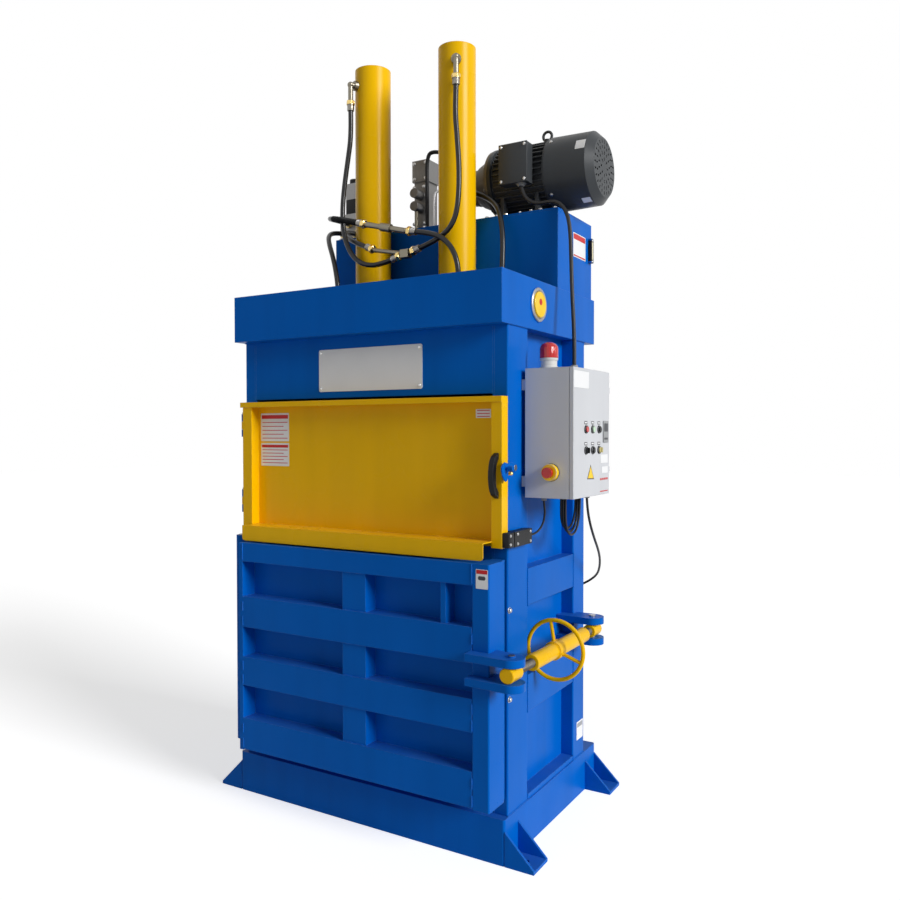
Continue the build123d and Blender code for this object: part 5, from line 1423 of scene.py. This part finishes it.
@dataclass
class FeedDoor(Assembly):
    """Labels, hook plate, latch ball, interlock actuator and handle of the upper door."""

    panel: float = -428.0
    hook_face: float = 668.1
    hook_sheet: float = 3.6
    hook_outline: tuple[Flat, ...] = (
        (-398, 1464), (-412, 1471), (-426, 1473), (-440, 1471), (-452, 1468), (-464, 1471), (-477, 1474),
        (-492, 1468), (-502, 1457), (-503, 1444), (-495, 1426), (-482, 1410), (-470, 1404), (-461, 1407),
        (-454, 1416), (-450.7, 1430), (-450.7, 1452), (-448, 1458), (-442, 1460.7), (-436, 1458),
        (-433.3, 1452), (-433.3, 1442), (-424, 1440), (-404, 1439), (-396, 1444), (-392, 1454),
    )
    ball: Point = (676.0, -437.7, 1432.6)
    ball_radius: float = 7.5
    grip_x: float = 625.0
    grip_width: float = 20.0
    grip_front: float = -472.2
    grip_reach: float = 47.0
    grip_hollow: float = 23.0
    grip_low: float = 1342.0
    grip_high: float = 1508.0
    grip_foot: float = 24.0

    def labels(self) -> None:
        """Makes the plain labels with their coloured heads and lines."""
        face, ink = self.panel, self.panel - FILM
        white, red = [], []
        for low, high in (((-545, 1544), (-385, 1665)), ((-545, 1438), (-385, 1537))):
            white.append((face, low, high, FILM))
            height = high[1] - low[1]
            red.append((ink, (low[0] + 5, high[1] - 0.2 * height), (high[0] - 5, high[1] - 8), INK, 2.0))
            for row in range(5):
                z = low[1] + 12 + row * 0.14 * height
                red.append((ink, (low[0] + 8, z), (high[0] - 8 - 22 * (row % 2), z + 3), INK, 1.0))
        white.append((face, (526, 1634), (589, 1667), FILM))
        red += [(ink, (531, z), (584, z + 3), INK, 1.0) for z in (1638, 1649, 1660)]
        self.films(Tag("feed_door_labels", WHITE_PRINT, Body.FEED_DOOR), Side.FRONT, white)
        self.films(Tag("feed_door_label_heads", RED_PRINT, Body.FEED_DOOR), Side.FRONT, red)

    def latch(self) -> None:
        """Makes the outer plate of the hook, which drops down before the stud, and the stud's ball."""
        cover = Shaper()
        cover.prism(self.hook_outline, (self.hook_face, 0, 0), TO_BACK, self.hook_sheet)
        cover.piece(Tag("hook_plate", BLUE, Body.HOOK))
        size = self.ball_radius
        arc = [(-size * math.cos(PI * i / 12), size * math.sin(PI * i / 12)) for i in range(1, 12)]
        profile = [(-size, 0.0), *arc, (size, 0.0)]
        self.turned(Tag("stud_ball", BRASS, Body.FEED_DOOR), [(profile, self.ball, TO_RIGHT, 24)])

    def interlock(self) -> None:
        """Makes the interlock's actuator and the screws of both its parts."""
        actuator = Shaper()
        actuator.box((656.5, -470, 1166), (683.5, -425, 1220), 2.5)
        actuator.piece(Tag("interlock_actuator", BLACK, Body.FEED_DOOR))
        places = [((683.5, -455, z), TO_RIGHT) for z in (1209, 1178)]
        self.screws("actuator_screws", places, 4.5, 2.5, ROUND_HEAD, Body.FEED_DOOR)
        places = [((684, y, z), TO_RIGHT) for y in (-398, -292) for z in (1211, 1175)]
        self.screws("switch_screws", places, 4.5, 2.5, ROUND_HEAD)

    def handle(self) -> None:
        """Makes the moulded bow handle with the screws of its two broad feet."""
        low, high, foot, steps = self.grip_low, self.grip_high, self.grip_foot, 12
        outline = []
        for first, last, reach, power in (
            (low, high, self.grip_reach, 0.4),
            (high - foot, low + foot, self.grip_hollow, 0.3),
        ):
            for step in range(steps + 1):
                share = step / steps
                rise = reach * math.sin(PI * share) ** power
                outline.append((self.grip_front - rise, first + (last - first) * share))
        grip = Shaper()
        grip.prism(outline, (self.grip_x, 0, 0), TO_BACK, self.grip_width)
        edges = grip.mesh.edges[:]
        bmesh.ops.bevel(grip.mesh, geom=edges, offset=3.0, segments=2, profile=0.6, affect="EDGES")
        grip.piece(Tag("bow_grip", BLACK, Body.FEED_DOOR, ("door_handle",)))
        head = ((0, 0), (0, 4.5), (1.2, 4.0), (1.2, 0))
        face = self.grip_x + self.grip_width
        rows = [(head, (face, self.grip_front - 12.0, z), TO_RIGHT, 16) for z in (low + 11, high - 11)]
        self.turned(Tag("grip_screws", DARK_SCREW, Body.FEED_DOOR), rows)

    def build(self) -> None:
        """Makes every piece of the door."""
        self.labels()
        self.latch()
        self.interlock()
        self.handle()


@dataclass
class BaleDoor(Assembly):
    """Stitch welds and label of the lower door."""

    front: float = -557.0
    rail_front: float = -550.0
    plates: tuple[Flat, ...] = ((240.0, 372.0), (512.0, 633.0), (760.0, 889.0), (1038.0, 1116.0))
    plate_sides: Flat = (-533.0, 580.0)
    plate_stitch: float = 34.0
    rails: tuple[float, ...] = (372.0, 512.0, 633.0, 760.0, 889.0, 1038.0)
    rail_starts: Flat = (8.0, 64.0)
    rail_stitch: float = 28.0

    def build(self) -> None:
        """Makes the stitch welds and the small label."""
        lines: list[list[Point]] = []
        for z0, z1 in self.plates:
            for x in self.plate_sides:
                for start in (z0 + 8, (z0 + z1) / 2 + 6):
                    end = min(start + self.plate_stitch, z1 - 4)
                    lines.append([(x, self.front, start), (x, self.front, end)])
        for z in self.rails:
            for x in self.rail_starts:
                lines.append([(x, self.rail_front, z), (x + self.rail_stitch, self.rail_front, z)])
        self.tools.beads.run(Tag("bale_door_welds", BLUE, Body.BALE_DOOR), lines, 3.2)
        for name, finish, row in (
            ("label", WHITE_PRINT, (self.front, (597, 1029), (646, 1098), FILM)),
            ("label_band", RED_PRINT, (self.front - FILM, (599, 1082), (644, 1096), INK, 1.5)),
            ("label_mark", DARK_PRINT, (self.front - FILM, (606, 1060), (636, 1074), INK, 6.0)),
        ):
            self.films(Tag(f"bale_door_{name}", finish, Body.BALE_DOOR), Side.FRONT, [row])


@dataclass
class ScrewLock(Assembly):
    """End blocks and true threads of the lock, and the welds of its handwheel."""

    axis: Flat = (740.0, 748.0)
    near_y: float = -561.0
    far_y: float = 196.0
    near_thread_end: float = -284.0
    far_thread_start: float = -23.0
    thread_inset: float = 30.0
    block_radius: float = 28.0
    block_face_radius: float = 25.0
    block_length: float = 79.0
    thread_radius: float = 16.9
    thread_pitch: float = 6.0
    thread_depth: float = 1.8
    wheel_y: float = -189.0
    hub_half: float = 25.5
    hub_radius: float = 31.0
    spoke_radius: float = 8.0
    spoke_reach: float = 37.0
    stub_tops: Flat = (811.3, 684.7)

    def threaded(self, tag: Tag, start: float, end: float, hand: int) -> None:
        """Makes a bar with a true helical thread.

        Args:
            tag: what the piece is.
            start: its first end on the Y axis.
            end: its other end.
            hand: 1 for a right-hand thread, -1 for a left-hand one.
        """
        shaper = Shaper()
        steps, rows_per_turn = 24, 6
        rows = int((end - start) / self.thread_pitch * rows_per_turn)
        rings = [shaper.row([(self.axis[0], start, self.axis[1])])]
        for row in range(rows + 1):
            y = start + (end - start) * row / rows
            ring = []
            for step in range(steps):
                turn = step / steps
                phase = ((y - start) / self.thread_pitch - hand * turn) % 1.0
                radius = self.thread_radius - self.thread_depth * abs(2 * phase - 1)
                x, z = polar(self.axis, radius, 2 * PI * turn)
                ring.append((x, y, z))
            rings.append(shaper.row(ring))
        rings.append(shaper.row([(self.axis[0], end, self.axis[1])]))
        shaper.skin(rings)
        shaper.piece(tag)

    def block(self, tag: Tag, y: float) -> None:
        """Makes one end block: a short turned bar with rounded rims.

        Args:
            tag: what the piece is.
            y: its middle on the Y axis.
        """
        half, face, rim = self.block_length / 2, self.block_face_radius, self.block_radius
        profile = ((-half, 0), (-half, face), (-half + 3, rim), (half - 3, rim), (half, face), (half, 0))
        self.turned(tag, [(profile, (self.axis[0], y, self.axis[1]), TO_BACK, 48)])

    def wheel_welds(self) -> None:
        """Lays the welds of the hub and of the three spokes."""
        hub = (self.wheel_y - self.hub_half, self.wheel_y + self.hub_half)
        welds = [circle((self.axis[0], y, self.axis[1]), "Y", self.hub_radius, 32) for y in hub]
        for angle in (100, 220, 340):
            spot = math.radians(angle)
            x, z = polar(self.axis, self.spoke_reach, spot)
            centre, up = Vector((x, self.wheel_y, z)), Vector((-math.sin(spot), 0, math.cos(spot)))
            turns = (polar((0, 0), self.spoke_radius, PI * i / 8) for i in range(17))
            welds.append([centre + Vector((0, a, 0)) + up * b for a, b in turns])
        self.tools.beads.run(Tag("wheel_welds", YELLOW, Body.LOCK_TURNER), welds, 2.4)

    def build(self) -> None:
        """Makes the end blocks, the threads, the wheel's welds and the faces of the pin stubs."""
        self.block(Tag("near_end_block", YELLOW, Body.LOCK_SCREW, ("screw_eye",)), self.near_y)
        near = Tag("near_thread", THREAD, Body.LOCK_SCREW)
        self.threaded(near, self.near_y + self.thread_inset, self.near_thread_end, 1)
        self.block(Tag("far_end_block", YELLOW, Body.LOCK_ARM, ("swivel_eye",)), self.far_y)
        far = Tag("far_thread", THREAD, Body.LOCK_ARM)
        self.threaded(far, self.far_thread_start, self.far_y - self.thread_inset, -1)
        self.wheel_welds()
        cap = ((0, 0), (0, 12.5), (1.6, 11), (1.6, 0))
        x, y = self.axis[0], self.near_y
        rows = [(cap, (x, y, z), way, 28) for z, way in zip(self.stub_tops, (UP, DOWN))]
        self.turned(Tag("stub_faces", THREAD, Body.BALE_DOOR), rows)


@dataclass
class ControlCabinet(Assembly):
    """Trim of the control box, its door, the stop button and the beacon."""

    door_face: float = 860.0
    rim_faces: Flat = (843.0, 844.7)
    button_ys: tuple[float, ...] = (-183.0, -115.0, -49.0)
    button_zs: Flat = (1592.0, 1513.0)
    triangle: tuple[Flat, ...] = ((-169.0, 1404.0), (-97.0, 1401.0), (-134.0, 1458.0))
    stop_origin: Point = (773.0, -304.0, 1433.0)
    gland_foot: float = 1337.0
    glands_at: tuple[Flat, ...] = ((709.0, -227.0), (745.0, -125.0), (745.0, 20.0), (800.0, -20.0))
    beacon_foot: Point = (733.0, -235.0, 1819.0)
    dome_rise: float = 40.3
    dome_top: float = 102.0
    dome_steps: int = 96
    rib_depth: float = 0.7

    def buttons(self) -> list[Flat]:
        """Returns the middles of the door's six buttons and selectors."""
        return [(y, z) for y in self.button_ys for z in self.button_zs]

    def door_marks(self) -> None:
        """Makes the plain labels, the meter, the triangle and the coloured marks of the door."""
        face, meter = self.door_face, self.door_face + 4
        buttons = self.buttons()
        inner = [(face + 0.6, (y - 11, z + 22), (y + 11, z + 28), 0.3, 1.0) for y, z in buttons]
        labels = [
            (face, (-300, 1744), (-153, 1807), FILM),
            (face, (-29, 1460), (49, 1494), FILM, 2.0),
            (face, (-15, 1421), (50, 1447), FILM, 2.0),
            *inner,
        ]
        self.films(Tag("box_door_labels", WHITE_PRINT, Body.BOX_LID), Side.RIGHT, labels)
        meter_tag = Tag("hour_meter", GREY_PLASTIC, Body.BOX_LID, slot="grey_paint")
        self.films(meter_tag, Side.RIGHT, [(face, (-6, 1541), (47, 1626), 4.0, 4.0)])
        dark, yellow = Shaper(), Shaper()
        for low, high in (((1, 1584), (40, 1616)), ((1, 1552), (40, 1560))):
            dark.plate(Side.RIGHT, meter, low, high, 0.6, 2.0)
        for y, z in buttons:
            dark.plate(Side.RIGHT, face, (y - 14, z + 19), (y + 14, z + 31), 0.6, 2.0)
        dark.prism(self.triangle, (face, 0, 0), TO_BACK, 0.4)
        middle = Vector(sum(axis) / 3 for axis in zip(*self.triangle))
        corners = [tuple(middle.lerp(Vector(corner), 0.8)) for corner in self.triangle]
        yellow.prism(corners, (face + 0.4, 0, 0), TO_BACK, 0.3)
        dark.piece(Tag("box_door_dark_marks", DARK_PRINT, Body.BOX_LID))
        red = [(face, (y, 1394), (y + 17, 1402), FILM, 1.0) for y in (-33, -11, 11, 33)]
        red.append((face, (-33, 1348), (51, 1352), FILM, 1.0))
        self.films(Tag("box_door_red_marks", RED_PRINT, Body.BOX_LID), Side.RIGHT, red)
        yellow.piece(Tag("box_door_triangle", YELLOW_PRINT, Body.BOX_LID))

    def bezels(self) -> None:
        """Makes the dark bezel rings round the buttons, and the gasket behind the door's edge."""
        bezel = ((0, 11.7), (0, 15.5), (4, 15.5), (5.6, 14), (5.6, 11.7))
        rows = [(bezel, (self.door_face, y, z), TO_RIGHT, 32) for y, z in self.buttons()]
        self.turned(Tag("button_bezels", BLACK, Body.BOX_LID), rows)
        gasket, (back, front) = Shaper(), self.rim_faces
        for y0, y1, z0, z1 in (
            (-300, -292, 1341, 1815), (53, 61, 1341, 1815), (-292, 53, 1341, 1349), (-292, 53, 1807, 1815),
        ):
            gasket.box((back, y0, z0), (front, y1, z1))
        gasket.piece(Tag("box_gasket", BLACK, slot="black_rubber"))

    def stop(self) -> None:
        """Makes the yellow housing of the stop button with its dark rim."""
        housing = ((0, 12.6), (0, 31.6), (20.2, 31.6), (22.15, 29.6), (22.15, 12.8))
        rim = ((0, 31.4), (0, 33), (2.5, 33), (2.5, 31.4))
        self.turned(Tag("stop_housing", STOP_YELLOW), [(housing, self.stop_origin, TO_FRONT, 48)])
        self.turned(Tag("stop_housing_rim", BLACK), [(rim, self.stop_origin, TO_FRONT, 48)])

    def beacon(self) -> None:
        """Makes the beacon: a pale base with a collar, and a ribbed red dome."""
        base = ((0, 0), (0, 33), (8, 33), (10, 30.5), (30, 30.5), (32, 34), (40, 34), (40, 0))
        tag = Tag("beacon_base", PALE_PLASTIC, replaces=("beacon",))
        self.turned(tag, [(base, self.beacon_foot, UP, 48)])
        dome = Shaper()
        x, y, foot = self.beacon_foot
        rings = [dome.row([(x, y, foot + self.dome_rise)])]
        for height, radius in ((0, 34.6), (36, 34.6), (44, 32.6), (51, 27.5), (56.5, 19.5), (60, 10)):
            ring = []
            for i in range(self.dome_steps):
                depth = self.rib_depth if i % 4 in (0, 1) and height < 50 else 0.0
                angle = 2 * PI * i / self.dome_steps
                ring.append((*polar((x, y), radius - depth, angle), foot + self.dome_rise + height))
            rings.append(dome.row(ring))
        dome.skin([*rings, dome.row([(x, y, foot + self.dome_top)])])
        dome.piece(Tag("beacon_dome", RED_LENS), angle=25.0)

    def glands(self) -> None:
        """Adds the hexagon nuts of the cable glands under and on the box, and at the motor."""
        places = [((x, y, self.gland_foot), DOWN) for x, y in self.glands_at]
        self.tools.fasteners.fix(Tag("gland_nuts", GREY_PLASTIC), places, 14.0, 6.0)
        places = [((754, -40, 1819), UP), ((470, 63, 2628.5), DOWN)]
        self.tools.fasteners.fix(Tag("motor_gland_nuts", GREY_PLASTIC), places, 17.5, 8.0)

    def build(self) -> None:
        """Makes every piece of the cabinet."""
        self.door_marks()
        self.bezels()
        self.stop()
        self.beacon()
        self.glands()


@dataclass
class Studio:
    """Floor, surrounding light, lamps and camera."""

    eye: Point = (2.0314, -3.1272, 1.5769)
    tilt_degrees: float = 90.0 - 1.133
    roll_degrees: float = 0.058
    heading_degrees: float = 30.93
    lens: float = 33.41
    sensor_width: float = 36.0
    floor_reach: float = 30.0
    floor_z: float = -0.0005
    floor_glow: float = 0.62
    surround: float = 0.13

    def seen(self, bench: Bench) -> Socket:
        """Tells rays of the camera, of a reflection or through glass from those that light.

        Args:
            bench: the bench of a material or world.

        Returns:
            The socket that is 1 for them and 0 for the others.
        """
        rays = bench.add("ShaderNodeLightPath").outputs
        bounced = bench.math("MAXIMUM", rays["Is Glossy Ray"], rays["Is Transmission Ray"])
        return bench.math("MAXIMUM", rays["Is Camera Ray"], bounced)

    def floor(self) -> None:
        """Makes the pale floor, which shows near white to the camera and keeps the shadow."""
        mesh = bpy.data.meshes.new("floor")
        reach, z = self.floor_reach, self.floor_z
        corners = [(-reach, -reach, z), (reach, -reach, z), (reach, reach, z), (-reach, reach, z)]
        mesh.from_pydata(corners, [], [(0, 1, 2, 3)])
        made = bpy.data.materials.new("pale floor")
        bench = Bench.fresh(made)
        matt = bench.add("ShaderNodeBsdfDiffuse", {"Color": (0.8, 0.8, 0.8, 1)})
        strength = bench.times(self.seen(bench), self.floor_glow)
        glow = bench.add("ShaderNodeEmission", {"Color": (1, 1, 1, 1), "Strength": strength})
        bench.show(bench.add("ShaderNodeAddShader", {0: matt, 1: glow}))
        mesh.materials.append(made)
        link(bpy.data.objects.new("floor", mesh))

    def world(self) -> None:
        """Sets the surroundings: white where they are seen, weak where they light."""
        world = bpy.data.worlds.new("studio")
        bench = Bench.fresh(world)
        strength = bench.ramp(self.seen(bench), 0.0, 1.0, self.surround, 1.0)
        light = bench.add("ShaderNodeBackground", {"Color": (1, 1, 1, 1), "Strength": strength})
        bench.show(light, "ShaderNodeOutputWorld")
        bpy.context.scene.world = world

    def lamp(self, name: str, away: Point, strength: float, spread: float) -> None:
        """Adds one distant lamp.

        Args:
            name: its name.
            away: direction in which it stands.
            strength: its strength.
            spread: angle that it fills, in degrees.
        """
        data = bpy.data.lights.new(name, "SUN")
        data.energy = strength
        data.angle = math.radians(spread)
        lamp = link(bpy.data.objects.new(name, data))
        lamp.rotation_euler = Vector(away).to_track_quat("Z", "Y").to_euler()

    def camera(self) -> None:
        """Sets the camera at the photograph's viewpoint."""
        data = bpy.data.cameras.new("photo view")
        data.lens = self.lens
        data.sensor_width = self.sensor_width
        data.sensor_fit = "HORIZONTAL"
        data.clip_end = 200.0
        camera = link(bpy.data.objects.new("photo view", data))
        camera.location = self.eye
        turns = (self.tilt_degrees, self.roll_degrees, self.heading_degrees)
        camera.rotation_euler = tuple(math.radians(turn) for turn in turns)
        bpy.context.scene.camera = camera

    def build(self) -> None:
        """Sets up the whole studio."""
        self.floor()
        self.world()
        self.lamp("key", (1.0, -0.14, 0.42), 3.0, 22.0)
        self.lamp("fill", (-0.25, -1.0, 0.5), 0.16, 60.0)
        self.camera()
        bpy.context.scene.view_settings.view_transform = "Standard"


def main() -> None:
    """Builds the dressed model."""
    logging.basicConfig(level=logging.INFO, format="%(message)s")
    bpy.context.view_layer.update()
    FrameDresser().dress()
    tools = Tools(FastenerTree(), BeadTree(), RingTree())
    Studio().build()
    for part in (
        CordSet, HoseEnds, PressHead, PowerPack, ChamberBody, FeedDoor, BaleDoor, ScrewLock, ControlCabinet,
    ):
        LOG.info("building %s", part.__name__)
        part(tools).build()


if __name__ == "__main__":
    main()
